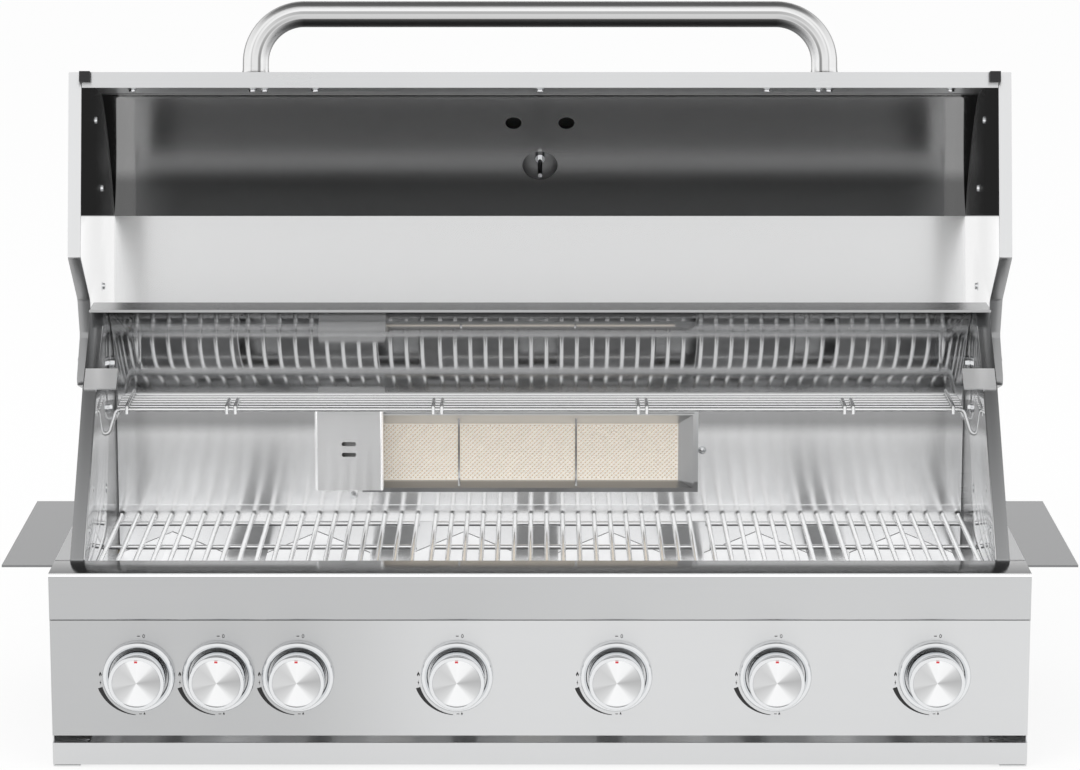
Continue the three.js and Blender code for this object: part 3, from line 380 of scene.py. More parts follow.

# Each finish: its maker, name, colour and roughness, then grain and smudges with their scales,
# relief, anisotropy, fade, glow, sheen and dark edge
# The last columns paint light and shade into the colour: painted light and shade, painted glow and painted
# sheen
FINISHES = {
    # Front, panel, tray and brushed steel: painted light and shade, darker on the left and lighter on the
    # right
    "front": (metal, "Front steel", "steel", 0.24, ALONG_X, 0.03, 0.05, SLOW, 0.03, 0.9,
              (RIGHT, -0.30, 0.40, 0.82, 0.95)),
    # The rail's top face: a darker copy of the front steel, painted shade
    "rail_top": (metal, "Rail top", "steel", 0.12, ALONG_X, 0.03, 0.05, SLOW, 0.0, 0.9,
                 (RIGHT, -0.30, 0.40, 0.31, 0.35)),
    "panel": (metal, "Panel steel", "steel", 0.24, ALONG_X, 0.03, 0.05, SLOW, 0.03, 0.9,
              (RIGHT, -0.30, -0.06, 0.83, 1.09)),
    "tray": (metal, "Tray steel", "steel", 0.24, ALONG_X, 0.03, 0.05, SLOW, 0.03, 0.9,
             (RIGHT, -0.30, -0.06, 1.04, 1.08)),
    "steel": (metal, "Brushed steel", "steel", 0.28, ALONG_X, 0.04, 0.10, ACROSS, 0.04, 0.8,
              (RIGHT, -0.4, 0.4, 1.08, 1.12)),
    # Round folds and edges: pale steel with a glow, a painted highlight
    "fold": (metal, "Fold steel", "pale", 0.20, ALONG_X, 0.03, 0.05, (5, 5, 5), 0.0, 0.0, None, 0.45),
    # The lower wall is painted lighter and the upper wall darker, with a glow: painted light and shade
    "wall": (metal, "Wall steel", "wall", 0.15, ALONG_X, 0.03, 0.06, (5, 3, 1), 0.0, 1.0,
             (UP, 0.285, 0.305, 1.2, 0.55), 0.07),
    # The hood: a darker copy of the wall's steel, painted shade
    "hood": (metal, "Hood steel", "hood", 0.06, ALONG_X, 0.03, 0.06, (5, 3, 1), 0.0, 1.0),
    # The lid end's inner face: light below a slanted line and dark above, with a glow: a painted reflection
    "end_wall": (metal, "Lid end wall", (1, 1, 1), 0.18, ALONG_X, 0.0, 0.04, ACROSS, 0.0, 0.0,
                 (LEAN, 0.5706, 0.5726, 1.0, 0.022), 0.82, 0.0, True),
    "polished": (metal, "Polished steel", "polished", 0.07, (90, 4, 4), 0.02, 0.06, (5, 5, 2)),
    "lid_end": (metal, "Lid end steel", "polished", 0.28, (90, 4, 4), 0.02, 0.06, (5, 5, 2)),
    # The ear's edges: a darker copy of the lid end's steel, painted shade
    "ear_edge": (metal, "Ear edge steel", (0.36, 0.362, 0.365), 0.28, (90, 4, 4), 0.02, 0.06, (5, 5, 2)),
    # The burner frame is painted darker along its bottom: painted shade
    "frame": (metal, "Burner frame steel", "polished", 0.30, ALONG_X, 0.02, 0.06, (5, 5, 2), 0.0, 0.0,
              (UP, 0.2285, 0.2315, 0.42, 0.92)),
    # The rear rail: a darker copy of the steel, painted shade
    "rail": (metal, "Rear rail steel", (0.45, 0.453, 0.456), 0.24, FINE, 0.03, 0.08, (5, 5, 3)),
    # Heat tents: a darker copy of the steel, painted shade, that glows on faces seen at a low angle, a
    # painted sheen
    "bright": (metal, "Bright steel", (0.23, 0.231, 0.233), 0.30, (4, 90, 4), 0.02, 0.05, (6, 6, 6),
               0.0, 0.0, None, 0.0, 3.0),
    # Ledges: a lighter copy of the steel, painted light
    "ledge": (metal, "Ledge steel", "pale", 0.20, (4, 90, 4), 0.02, 0.05, (6, 6, 6)),
    "cover": (metal, "Cover steel", (0.96, 0.962, 0.965), 0.34, ALONG_X, 0.03, 0.06, (5, 3, 1), 0.0, 1.0),
    "rack": (metal, "Rack steel", (0.86, 0.862, 0.865), 0.16, ROUND, 0.02, 0.05, (14, 14, 14)),
    # Hangers: a darker copy of the steel, painted shade
    "shaded": (metal, "Satin steel", "shaded", 0.24, FINE, 0.03, 0.08, (5, 5, 3)),
    # Cheek folds: a darker copy of the steel, painted shade
    "flange": (metal, "Flange steel", "flange", 0.24, FINE, 0.03, 0.08, (5, 5, 3)),
    # The liner's curve: a dark copy of the steel, lighter towards its top, painted shade and painted
    # reflection
    "liner_dark": (metal, "Liner curve", "liner_dark", 0.08, ALONG_X, 0.02, 0.1, (3, 2, 2), 0.0, 1.0,
                   (UP, 0.565, 0.59, 0.50, 1.0)),
    # The liner's roof: a light copy of the steel, painted light
    "liner_light": (metal, "Liner roof", "liner_light", 0.24, ALONG_X, 0.02, 0.08, (4, 2, 1), 0.0, 1.0),
    "chrome": (metal, "Chrome", "chrome", 0.05, (9, 9, 9), 0.01, 0.05, (8, 8, 8)),
    "rod": (metal, "Rod steel", "rod", 0.14, ROUND, 0.05, 0.18, (14, 14, 14)),
    "brass": (metal, "Brass", "brass", 0.3, (40, 40, 40), 0.08, 0.2, (12, 12, 12)),
    # The handle's light and dark bands are a painted reflection
    "tube": (painted_reflection_tube, "Handle steel", (BAR_PAINTED_REFLECTION, LEG_PAINTED_REFLECTION)),
    # The tile's darker holes are painted shade, and its emission a painted glow
    "ceramic": (pitted_ceramic, "Ceramic", "ceramic", (0.30, 0.25, 0.19), 0.23),
    "rubber": (matte, "Rubber", "rubber", 0.7, 0.3, 700),
    "ink": (matte, "Printed ink", "ink", 0.5, 0.2, 900),
    "red": (matte, "Red paint", "red", 0.4, 0.1, 900),
    # The knob faces' wedges of light are a painted reflection
    "disc": (turned_steel, "Turned steel", (0.95, 0.955, 0.96)),
}


def finish(key):
    """The material of a finish, made once"""
    maker, name, tint, *rest = FINISHES[key]
    if name not in bpy.data.materials:
        if isinstance(tint, str):
            tint = getattr(bpy.context.scene.grill_finishes, tint)
        maker(name, tint, *rest)
    return bpy.data.materials[name]


# Mesh building: every shape is a list of corners and faces in the frame's own place
def square_to(along):
    """A direction square to the given one"""
    helper = Vector((0, 0, 1)) if abs(along.z) < 0.9 else Vector((1, 0, 0))
    return along.cross(helper).normalized()


def circle(centre, side, up, radius, sides):
    turns = (2 * math.pi * j / sides for j in range(sides))
    return [centre + (side * math.cos(t) + up * math.sin(t)) * radius for t in turns]


class Shape:
    """Collects corners and faces of one piece"""

    def __init__(self):
        self.corners, self.faces, self.slots = [], [], []

    def add(self, corners, faces, slot=0):
        start = len(self.corners)
        self.corners += [tuple(corner) for corner in corners]
        self.faces += [[start + i for i in face] for face in faces]
        self.slots += [slot] * len(faces)

    def rings(self, rings, closed=False, slot=0):
        """Skins a list of equal rings, each a closed loop of points, and caps an open list"""
        count = len(rings[0])
        faces = []
        for i in range(len(rings) if closed else len(rings) - 1):
            a, b = i * count, (i + 1) % len(rings) * count
            faces += [[a + j, a + (j + 1) % count, b + (j + 1) % count, b + j] for j in range(count)]
        if not closed:
            last = (len(rings) - 1) * count
            faces += [list(range(count))[::-1], [last + j for j in range(count)]]
        self.add([point for ring in rings for point in ring], faces, slot)

    def block(self, a, b, slot=0):
        lows = [min(p, q) for p, q in zip(a, b)]
        highs = [max(p, q) for p, q in zip(a, b)]
        ring = [(lows[0], lows[1]), (highs[0], lows[1]), (highs[0], highs[1]), (lows[0], highs[1])]
        self.rings([[(x, y, z) for x, y in ring] for z in (lows[2], highs[2])], slot=slot)

    def tube(self, path, radius, sides):
        """A round tube along a path, with even sections"""
        points = [Vector(point) for point in path]
        side = square_to((points[1] - points[0]).normalized())
        rings = []
        for before, point, after in zip(points[:1] + points, points, points[1:] + points[-1:]):
            along = (after - before).normalized()
            side = (side - along * side.dot(along)).normalized()
            rings.append(circle(point, side, along.cross(side), radius, sides))
        self.rings(rings)

    def lathe(self, profile, origin, axis, sides, slot=0, closed=False):
        """Turns a profile of (radius, distance along the axis) about the axis"""
        axis = Vector(axis).normalized()
        side = square_to(axis)
        up = axis.cross(side)
        tiny = 1e-5
        rings = [circle(Vector(origin) + axis * along, side, up, max(radius, tiny), sides)
                 for radius, along in profile]
        self.rings(rings, closed, slot)

    def prism(self, outline, near, far, place, slot=0):
        """An outline of (a, b) carried from near to far; place gives the point of (a, b, x)"""
        self.rings([[place(a, b, x) for a, b in outline] for x in (near, far)], slot=slot)

    def sheet(self, line, thickness, near, far, place):
        """A folded sheet: the line's left side gets the thickness"""
        self.prism(list(line) + offset(line, thickness)[::-1], near, far, place)

    def mesh(self, name, finishes=(), outward=True, weld=False, bevel=0.0):
        mesh = bpy.data.meshes.new(name)
        mesh.from_pydata(self.corners, [], self.faces)
        for key in finishes:
            mesh.materials.append(finish(key))
        mesh.polygons.foreach_set("material_index", self.slots)
        work = bmesh.new()
        work.from_mesh(mesh)
        if weld:
            tiny = 1e-7
            bmesh.ops.remove_doubles(work, verts=work.verts, dist=tiny)
            bmesh.ops.dissolve_degenerate(work, edges=work.edges, dist=tiny)
        if outward:
            bmesh.ops.recalc_face_normals(work, faces=work.faces)
        if bevel:
            least = math.radians(40)
            sharp = [edge for edge in work.edges if edge.is_manifold and edge.calc_face_angle() > least]
            bmesh.ops.bevel(work, geom=sharp, offset=bevel, segments=2, profile=0.6, affect="EDGES",
                            clamp_overlap=True)
        work.to_mesh(mesh)
        work.free()
        return mesh

    def build(self, name, finishes, body, replaces=(), angle=30, bevel=0.0, uv=None):
        mesh = self.mesh(name, finishes, weld=True, bevel=bevel)
        smooth(mesh, angle)
        if uv:
            layer = mesh.uv_layers.new(name="disc")
            for loop in mesh.loops:
                layer.data[loop.index].uv = uv(mesh.vertices[loop.vertex_index].co)
        return dress(linked(name, mesh), body, replaces)


def smooth(mesh, angle=30):
    mesh.polygons.foreach_set("use_smooth", [True] * len(mesh.polygons))
    mesh.set_sharp_from_angle(angle=math.radians(angle))


def linked(name, mesh):
    """A new object of the scene"""
    piece = bpy.data.objects.new(name, mesh)
    bpy.context.scene.collection.objects.link(piece)
    return piece


def dress(piece, body, replaces=()):
    """Puts a piece on its body and hides the parts that it replaces"""
    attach(piece, body)
    if replaces:
        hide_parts(*replaces)
    return piece


def reslot(piece, slot, chosen):
    """Gives another finish to the faces for which chosen(normal, centre) holds"""
    for face in piece.data.polygons:
        if chosen(face.normal, face.center):
            face.material_index = slot


def straight(a, b, x):
    """A section of (y, z) carried along X"""
    return (x, a, b)


def flat(a, b, y):
    """An outline of (x, z) carried along Y"""
    return (a, y, b)


def lid_place(depth, rise, x):
    """A point of the closed lid, given from its lip and rim, turned to the open lid's place"""
    sizes = bpy.context.scene.grill_sizes
    spoke = Vector((x, depth - sizes.lip_to_pivot, rise - sizes.rim_to_pivot))
    return LID_PIVOT + Matrix.Rotation(-LID_OPEN, 3, "X") @ spoke


def offset(line, distance):
    """The line moved to its left, mitred at the corners"""
    points = [Vector(point) for point in line]
    normals = []
    for a, b in zip(points, points[1:]):
        run = (b - a).normalized()
        normals.append(Vector((-run.y, run.x)))
    moved = []
    for i, point in enumerate(points):
        before = normals[max(i - 1, 0)]
        after = normals[min(i, len(normals) - 1)]
        mitre = before + after
        moved.append(tuple(point + mitre * (distance / mitre.dot(after))))
    return moved


def rounded(line, radius, steps=4, closed=False):
    """The line with each corner rounded; works on 2-D and 3-D points"""
    end_share, middle_share, least_turn = 0.98, 0.48, 1e-4
    points = [Vector(point) for point in line]
    count = len(points)
    made = []
    for i, corner in enumerate(points):
        if not closed and i in (0, count - 1):
            made.append(tuple(corner))
            continue
        back = points[i - 1] - corner
        on = points[(i + 1) % count] - corner
        half = back.angle(on) / 2
        free_back = end_share if i == 1 and not closed else middle_share
        free_on = end_share if i == count - 2 and not closed else middle_share
        reach = min(radius / math.tan(half), free_back * back.length, free_on * on.length)
        inward = (back.normalized() + on.normalized()).normalized()
        centre = corner + inward * (reach * math.tan(half) / math.sin(half))
        a = corner + back.normalized() * reach - centre
        b = corner + on.normalized() * reach - centre
        turn = a.angle(b)
        for t in (step / steps for step in range(steps + 1)):
            if turn < least_turn:
                spoke = a.lerp(b, t)
            else:
                spoke = (a * math.sin((1 - t) * turn) + b * math.sin(t * turn)) / math.sin(turn)
            made.append(tuple(centre + spoke))
    return made


def arc(centre_a, centre_b, radius_a, radius_b, start, end, steps):
    turns = (start + (end - start) * i / steps for i in range(steps + 1))
    return [(centre_a + radius_a * math.cos(t), centre_b + radius_b * math.sin(t)) for t in turns]


def carve(piece, shape):
    """Cuts a scratch shape out of a piece and keeps the result as a plain mesh"""
    cutter = linked("cutter", shape.mesh("cutter"))
    modifier = piece.modifiers.new("carve", "BOOLEAN")
    modifier.operation = "DIFFERENCE"
    modifier.solver = "EXACT"
    modifier.object = cutter
    keep_evaluated(piece)
    bpy.data.objects.remove(cutter)
    smooth(piece.data)


def keep_evaluated(piece):
    """Turns what the modifiers make into a plain mesh, and removes them"""
    graph = bpy.context.evaluated_depsgraph_get()
    mesh = bpy.data.meshes.new_from_object(piece.evaluated_get(graph), depsgraph=graph)
    piece.modifiers.clear()
    piece.data = mesh


# Geometry Nodes trees
def socket_id(tree, label):
    return next(item.identifier for item in tree.interface.items_tree
                if item.item_type == "SOCKET" and item.in_out == "INPUT" and item.name == label)


def grow(name, tree, values, base=None):
    """Runs a Geometry Nodes tree with its named inputs and keeps a plain mesh"""
    piece = linked(name, base or bpy.data.meshes.new(name))
    modifier = piece.modifiers.new("grow", "NODES")
    modifier.node_group = tree
    for label, value in values.items():
        modifier[socket_id(tree, label)] = value
    keep_evaluated(piece)
    smooth(piece.data, 40)
    return piece


def geometry_tree(name, labels, fill):
    """A tree with its named inputs; fill makes its instances from them"""
    if name in bpy.data.node_groups:
        return bpy.data.node_groups[name]
    tree = bpy.data.node_groups.new(name, "GeometryNodeTree")
    tree.interface.new_socket("Geometry", in_out="INPUT", socket_type="NodeSocketGeometry")
    for label, kind in {**labels, "Finish": "Material"}.items():
        tree.interface.new_socket(label, in_out="INPUT", socket_type=f"NodeSocket{kind}")
    tree.interface.new_socket("Geometry", in_out="OUTPUT", socket_type="NodeSocketGeometry")
    given = node(tree, "NodeGroupInput").outputs
    realize = node(tree, "GeometryNodeRealizeInstances", {0: fill(tree, given)})
    paint = node(tree, "GeometryNodeSetMaterial",
                 {"Geometry": realize.outputs[0], "Material": given["Finish"]})
    node(tree, "NodeGroupOutput", {0: paint.outputs[0]})
    return tree


def rod_rows_tree():
    """Rows of equal rods: count, first centre, step to the next, and each rod's own turn and length"""

    def fill(tree, given):
        row = node(tree, "GeometryNodeMeshLine", {
            "Count": given["Count"], "Start Location": given["First"],
            "Offset": given["Step"]}, mode="OFFSET")
        rod = node(tree, "GeometryNodeMeshCylinder", {
            "Vertices": given["Sides"], "Radius": given["Radius"], "Depth": given["Length"]})
        turn = node(tree, "GeometryNodeTransform", {
            "Geometry": rod.outputs["Mesh"], "Rotation": given["Turn"]})
        sockets = {"Points": row.outputs[0], "Instance": turn.outputs[0]}
        return node(tree, "GeometryNodeInstanceOnPoints", sockets).outputs[0]

    return geometry_tree("Rod rows", {"Count": "Int", "First": "Vector", "Step": "Vector", "Turn": "Vector",
                                      "Radius": "Float", "Length": "Float", "Sides": "Int"}, fill)


def copies_tree():
    """Copies of one small piece on the base's points, each facing its point's own direction"""

    def fill(tree, given):
        source = node(tree, "GeometryNodeObjectInfo", {"Object": given["Copied"]})
        facing = node(tree, "GeometryNodeInputNamedAttribute", {"Name": "facing"}, data_type="FLOAT_VECTOR")
        turn = node(tree, "FunctionNodeAlignRotationToVector", {
            "Vector": facing.outputs["Attribute"]}, axis="Z")
        scale = node(tree, "ShaderNodeCombineXYZ", {i: given["Size"] for i in range(3)})
        points = node(tree, "GeometryNodeMeshToPoints", {"Mesh": given["Geometry"]})
        sockets = {"Points": points.outputs[0], "Instance": source.outputs["Geometry"],
                   "Rotation": turn.outputs[0], "Scale": scale.outputs[0]}
        return node(tree, "GeometryNodeInstanceOnPoints", sockets).outputs[0]

    return geometry_tree("Copies on points", {"Copied": "Object", "Size": "Float"}, fill)


def copy_on_points(name, places, source, size, finish_key, body):
    """Puts copies of the source on (point, direction) places"""
    base = bpy.data.meshes.new(name)
    base.from_pydata([tuple(point) for point, _ in places], [], [])
    layer = base.attributes.new("facing", "FLOAT_VECTOR", "POINT")
    for i, (_, direction) in enumerate(places):
        layer.data[i].vector = direction
    piece = grow(name, copies_tree(), {"Copied": source, "Size": size, "Finish": finish(finish_key)}, base)
    return dress(piece, body)


class GrillStep(bpy.types.Operator):
    """One step of the dressing"""

    bl_options = {"REGISTER", "UNDO"}

    @property
    def sizes(self):
        return bpy.context.scene.grill_sizes


# Front
class GRILL_OT_front(GrillStep):
    """Top rail and band, folded from one sheet, with round folds"""

    bl_idname = "grill.front"
    bl_label = "Front rail"

    def execute(self, context):
        sizes = self.sizes
        back_y, bottom_z = high("front_rail").y, low("front_rail").z
        line = [(back_y, COUNTER_Z - sizes.lip), (back_y, COUNTER_Z), (FRONT_Y, COUNTER_Z),
                (FRONT_Y, bottom_z), (FRONT_Y + sizes.band_return, bottom_z)]
        outer_bend = sizes.bend + sizes.sheet
        top_z = COUNTER_Z - sizes.sheet / 2
        rail = Shape()
        rail.sheet(rounded(line, outer_bend), sizes.sheet, -HALF_WIDTH, HALF_WIDTH, straight)
        piece = rail.build("front_rail_sheet", ["front", "rail_top", "fold"], "base",
                           ["front_rail"])
        # The round fold gets the pale glowing finish: a painted highlight
        reslot(piece, 2, lambda normal, centre: normal.z > 0.1 and normal.y < -0.1
               and centre.z > COUNTER_Z - outer_bend)
        # The flat top face gets a darker copy of the front steel: painted shade
        reslot(piece, 1, lambda normal, centre: normal.z > 0.99 and centre.z > top_z)
        return {"FINISHED"}


# Knobs
class GRILL_OT_knobs(GrillStep):
    """Knobs with turned faces, a red pointer and a stem, and their chrome bezels"""

    bl_idname = "grill.knobs"
    bl_label = "Knobs and bezels"

    FACE_SHARE, STEM_SHARE, GRIP_SHARE = 0.845, 0.13, 0.424
    # Shares of the rim's width: out from the turned face and back from the knob's front
    RIM = ((0.0, 0.25), (0.08, 0.12), (0.18, 0.0))
    ROUND_SHARE, ROUND_STEPS = 0.55, 8
    REAR_RISE, REAR_STEP = 0.2, 0.15
    # The pointer: its place on the face, half width and height as shares, and its depth and rise
    POINTER_PLACE, POINTER_HALF, POINTER_TALL = 0.93, 0.055, 0.6
    POINTER_DEPTH, POINTER_RISE = 0.0005, 0.0004
    HOLE_SHARE, CREST_SHARE, CREST_STEPS = 0.815, 0.45, 14

    def execute(self, context):
        sides = self.sizes.round_sides
        for i in range(1, KNOB_COUNT + 1):
            self.knob(i, sides)
            self.bezel(i, sides)
        return {"FINISHED"}

    def knob(self, i, sides):
        """From the centre of the turned face, over the rim and down the side to the stem's end"""
        centre, radius, front_y, rear_y = round_box(f"burner_knob_{i}")
        face_radius, stem_radius = radius * self.FACE_SHARE, radius * self.STEM_SHARE
        front, back = -front_y, -(front_y + (rear_y - front_y) * self.GRIP_SHARE)
        rim = radius - face_radius
        soft = rim * self.ROUND_SHARE
        profile = [(face_radius + rim * out, front - rim * sink) for out, sink in self.RIM]
        face_front = profile[0][1]
        profile += [(radius - soft + soft * math.sin(t), front - soft + soft * math.cos(t))
                    for t in (math.pi / 2 * k / self.ROUND_STEPS for k in range(self.ROUND_STEPS + 1))]
        profile += [(radius, back + rim * self.REAR_RISE), (radius - rim * self.REAR_STEP, back),
                    (stem_radius, back), (stem_radius, -rear_y), (0, -rear_y)]
        knob = Shape()
        knob.lathe([(0, face_front), (face_radius, face_front)], centre, FORWARD, sides, slot=1)
        self.drop_face(knob, -1)
        knob.lathe(profile, centre, FORWARD, sides)
        self.drop_face(knob, -2)
        pointer = Vector((centre.x, -face_front, centre.z + face_radius * self.POINTER_PLACE))
        half = radius * self.POINTER_HALF
        tall = half * self.POINTER_TALL
        knob.block(pointer + Vector((-half, self.POINTER_DEPTH, -tall)),
                   pointer + Vector((half, -self.POINTER_RISE, tall)), slot=2)

        def disc_uv(corner):
            return ((corner.x - centre.x) / face_radius, (corner.z - centre.z) / face_radius)

        knob.build(f"knob_{i}", ["chrome", "disc", "red"], f"burner_knob_{i}",
                   [f"burner_knob_{i}"], angle=25, uv=disc_uv)

    def drop_face(self, shape, place):
        """Opens a cap, so that the face and the rim join"""
        shape.faces.pop(place)
        shape.slots.pop(place)

    def bezel(self, i, sides):
        centre, radius, front_y, rear_y = round_box(f"knob_bezel_{i}")
        inner = radius * self.HOLE_SHARE
        foot, crest = -rear_y, -front_y
        rise = (crest - foot) * self.CREST_SHARE
        shoulder = crest - rise
        ring = (radius - inner) / 2
        profile = [(inner, foot), (inner, shoulder)]
        profile += [(inner + ring - ring * math.cos(t), shoulder + rise * math.sin(t))
                    for t in (math.pi * k / self.CREST_STEPS for k in range(1, self.CREST_STEPS))]
        profile += [(radius, shoulder), (radius, foot)]
        bezel = Shape()
        bezel.lathe(profile, centre, FORWARD, sides, closed=True)
        bezel.build(f"bezel_{i}", ["chrome"], "base", [f"knob_bezel_{i}"], angle=35)


class GRILL_OT_marks(GrillStep):
    """Printed marks round each knob: a nought at off, a spark, a fading arc and two flames"""

    bl_idname = "grill.marks"
    bl_label = "Printed marks"

    FLAME = ((0.0, 1.0), (0.28, 0.45), (0.48, 0.05), (0.42, -0.45), (0.12, -0.72), (0.16, -0.35),
             (0.0, 0.05), (-0.16, -0.35), (-0.12, -0.72), (-0.42, -0.45), (-0.48, 0.05), (-0.28, 0.45))
    SPARK = ((0.25, 1.0), (-0.5, -0.1), (0.0, -0.05), (-0.25, -1.0), (0.5, 0.15), (0.05, 0.1))
    # Outline, place to the right and upwards, width and height, as shares of the marks' circle
    STAMPS = ((FLAME, -0.943, 0.024, 0.07, 0.07), (SPARK, -0.943, -0.184, 0.045, 0.07),
              (FLAME, 0.109, -0.97, 0.045, 0.045))
    # Left, right, lower and upper edges
    LOW_BAR, HIGH_BAR = (-0.02, 0.05, -0.98, -0.965), (-0.03, 0.04, 0.975, 0.995)
    NOUGHT_RIGHT, NOUGHT_UP, NOUGHT_SIZE, NOUGHT_STEPS = 0.13, 0.985, 0.042, 16
    NOUGHT_OUTSIDE, NOUGHT_INSIDE = (0.72, 1.1), (0.4, 0.75)
    ARC_START, ARC_END, ARC_STEPS = math.radians(198), math.radians(264), 40
    WIDEST, THINNEST, TAPER = 0.1, 0.014, 1.2

    def execute(self, context):
        source = self.mark_source(self.sizes)
        centres = [round_box(f"knob_bezel_{i}")[0] for i in range(1, KNOB_COUNT + 1)]
        places = [(Vector((centre.x, PANEL_Y, centre.z)), Vector((0, 0, 1))) for centre in centres]
        copy_on_points("printed_marks", places, source, 1.0, "ink", "base")
        bpy.data.objects.remove(source)
        return {"FINISHED"}

    def mark_source(self, sizes):
        """All marks of one knob; every place and size is a share of the circle that they follow"""
        radius = sizes.mark_radius
        marks = Shape()

        def stamp(outline, right=0.0, up=0.0, wide=1.0, tall=1.0):
            marks.prism([(radius * (right + a * wide), radius * (up + b * tall)) for a, b in outline],
                        0.0, -sizes.print_height, flat)

        def bar(left, right, under, over):
            stamp([(left, under), (right, under), (right, over), (left, over)])

        outer, inner = [], []
        for t in (i / self.ARC_STEPS for i in range(self.ARC_STEPS + 1)):
            angle = self.ARC_START + (self.ARC_END - self.ARC_START) * t
            half = (self.WIDEST * (1 - t) ** self.TAPER + self.THINNEST) / 2
            outer.append(((1 + half) * math.cos(angle), (1 + half) * math.sin(angle)))
            inner.append(((1 - half) * math.cos(angle), (1 - half) * math.sin(angle)))
        for i in range(self.ARC_STEPS):
            stamp([outer[i], outer[i + 1], inner[i + 1], inner[i]])
        for mark in self.STAMPS:
            stamp(*mark)
        bar(*self.LOW_BAR)
        ring = arc(0, 0, 1, 1, 0, 2 * math.pi, self.NOUGHT_STEPS)
        outside, inside = self.NOUGHT_OUTSIDE, self.NOUGHT_INSIDE
        for (a, b), (c, d) in zip(ring, ring[1:]):
            corners = ((a, b, outside), (c, d, outside), (c, d, inside), (a, b, inside))
            stamp([(p * wide, q * tall) for p, q, (wide, tall) in corners], self.NOUGHT_RIGHT,
                  self.NOUGHT_UP, self.NOUGHT_SIZE, self.NOUGHT_SIZE)
        bar(*self.HIGH_BAR)
        return linked("mark", marks.mesh("mark", outward=False))


# Cooking surfaces
class GRILL_OT_grates(GrillStep):
    """Cooking grates: long rods on cross rods"""

    bl_idname = "grill.grates"
    bl_label = "Cooking grates"

    ROD_COUNTS = {"left_grate": 19, "centre_grate": 17, "right_grate": 17}
    CROSS_SHARES = (0.245, 0.592, 0.938)

    def execute(self, context):
        sizes = self.sizes
        radius = sizes.rod_radius
        first, second = self.CROSS_SHARES[:2]
        for name, count in self.ROD_COUNTS.items():
            a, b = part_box(name)
            rod_z = b.z - radius
            depth, width = b.y - a.y, b.x - a.x
            shared = {"Radius": radius, "Sides": sizes.rod_sides, "Finish": finish("rod")}
            rods = grow(f"{name}_rods", rod_rows_tree(), {
                "Count": count, "First": (a.x + radius, (a.y + b.y) / 2, rod_z),
                "Step": ((width - 2 * radius) / (count - 1), 0, 0), "Turn": (math.pi / 2, 0, 0),
                "Length": depth, **shared})
            dress(rods, name, [name])
            cross = grow(f"{name}_cross_rods", rod_rows_tree(), {
                "Count": len(self.CROSS_SHARES),
                "First": ((a.x + b.x) / 2, a.y + depth * first, rod_z - 2 * radius + radius / 3),
                "Step": (0, depth * (second - first), 0), "Turn": (0, math.pi / 2, 0),
                "Length": width, **shared})
            dress(cross, name)
        return {"FINISHED"}


class GRILL_OT_rack(GrillStep):
    """Warming rack: long rods, double clips and sprung end legs"""

    bl_idname = "grill.rack"
    bl_label = "Warming rack"

    CLIP_SHARES = (-0.729, -0.242, 0.242, 0.729)
    END_CLIP_SHARE = 0.975
    ROD_COUNT = 7
    SIDE_GAP, LEG_DROP, SPLAY = 0.013, 0.029, 0.009
    CLIP_REACH, CLIP_DROP, CLIP_LEAN = 0.0035, 0.0095, 0.002
    CLIP_TAIL, CLIP_CLIMB, CLIP_BEND, CLIP_SHARE = 0.012, 0.008, 0.004, 0.85

    def execute(self, context):
        sizes = self.sizes
        radius = sizes.rack_radius
        a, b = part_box("warming_rack")
        half = CHEEK_X - self.SIDE_GAP
        top_z = b.z - radius
        leg_z = top_z - self.LEG_DROP
        pitch = (b.y - a.y - 2 * radius) / self.ROD_COUNT
        front_y = a.y + radius + pitch / 2
        rear_y = b.y - radius - pitch / 2
        rack = Shape()
        for i in range(1, self.ROD_COUNT - 1):
            y = front_y + (rear_y - front_y) * i / (self.ROD_COUNT - 1)
            rack.tube([(-half, y, top_z), (half, y, top_z)], radius, sizes.rod_sides)
        foot, tip = half + self.SPLAY, b.x
        for y in (front_y, rear_y):
            path = [(-tip, y, leg_z), (-foot, y, leg_z), (-half, y, top_z),
                    (half, y, top_z), (foot, y, leg_z), (tip, y, leg_z)]
            rack.tube(rounded(path, sizes.rack_bend, 5), radius, sizes.rod_sides)
        rack.build("warming_rack_rods", ["rack"], "base", ["warming_rack"], angle=40)
        clips = Shape()
        over = top_z + 2 * radius
        fourth_y = front_y + (rear_y - front_y) / 2
        nose_y = front_y - self.CLIP_REACH

        def clip(x, start):
            path = [*start, (x, nose_y, over), (x, nose_y - self.CLIP_LEAN, over - self.CLIP_DROP)]
            clips.tube(rounded(path, self.CLIP_BEND), radius * self.CLIP_SHARE, sizes.rod_sides)

        for share in self.CLIP_SHARES:
            for side in (-1, 1):
                x = share * half + side * sizes.clip_gap / 2
                clip(x, [(x + side * self.CLIP_TAIL, fourth_y, top_z), (x, fourth_y, top_z),
                         (x, fourth_y - self.CLIP_CLIMB, over)])
        for side in (-1, 1):
            x = side * self.END_CLIP_SHARE * half
            clip(x, [(x, rear_y, over)])
        clips.build("warming_rack_clips", ["rack"], "base", angle=40)
        return {"FINISHED"}


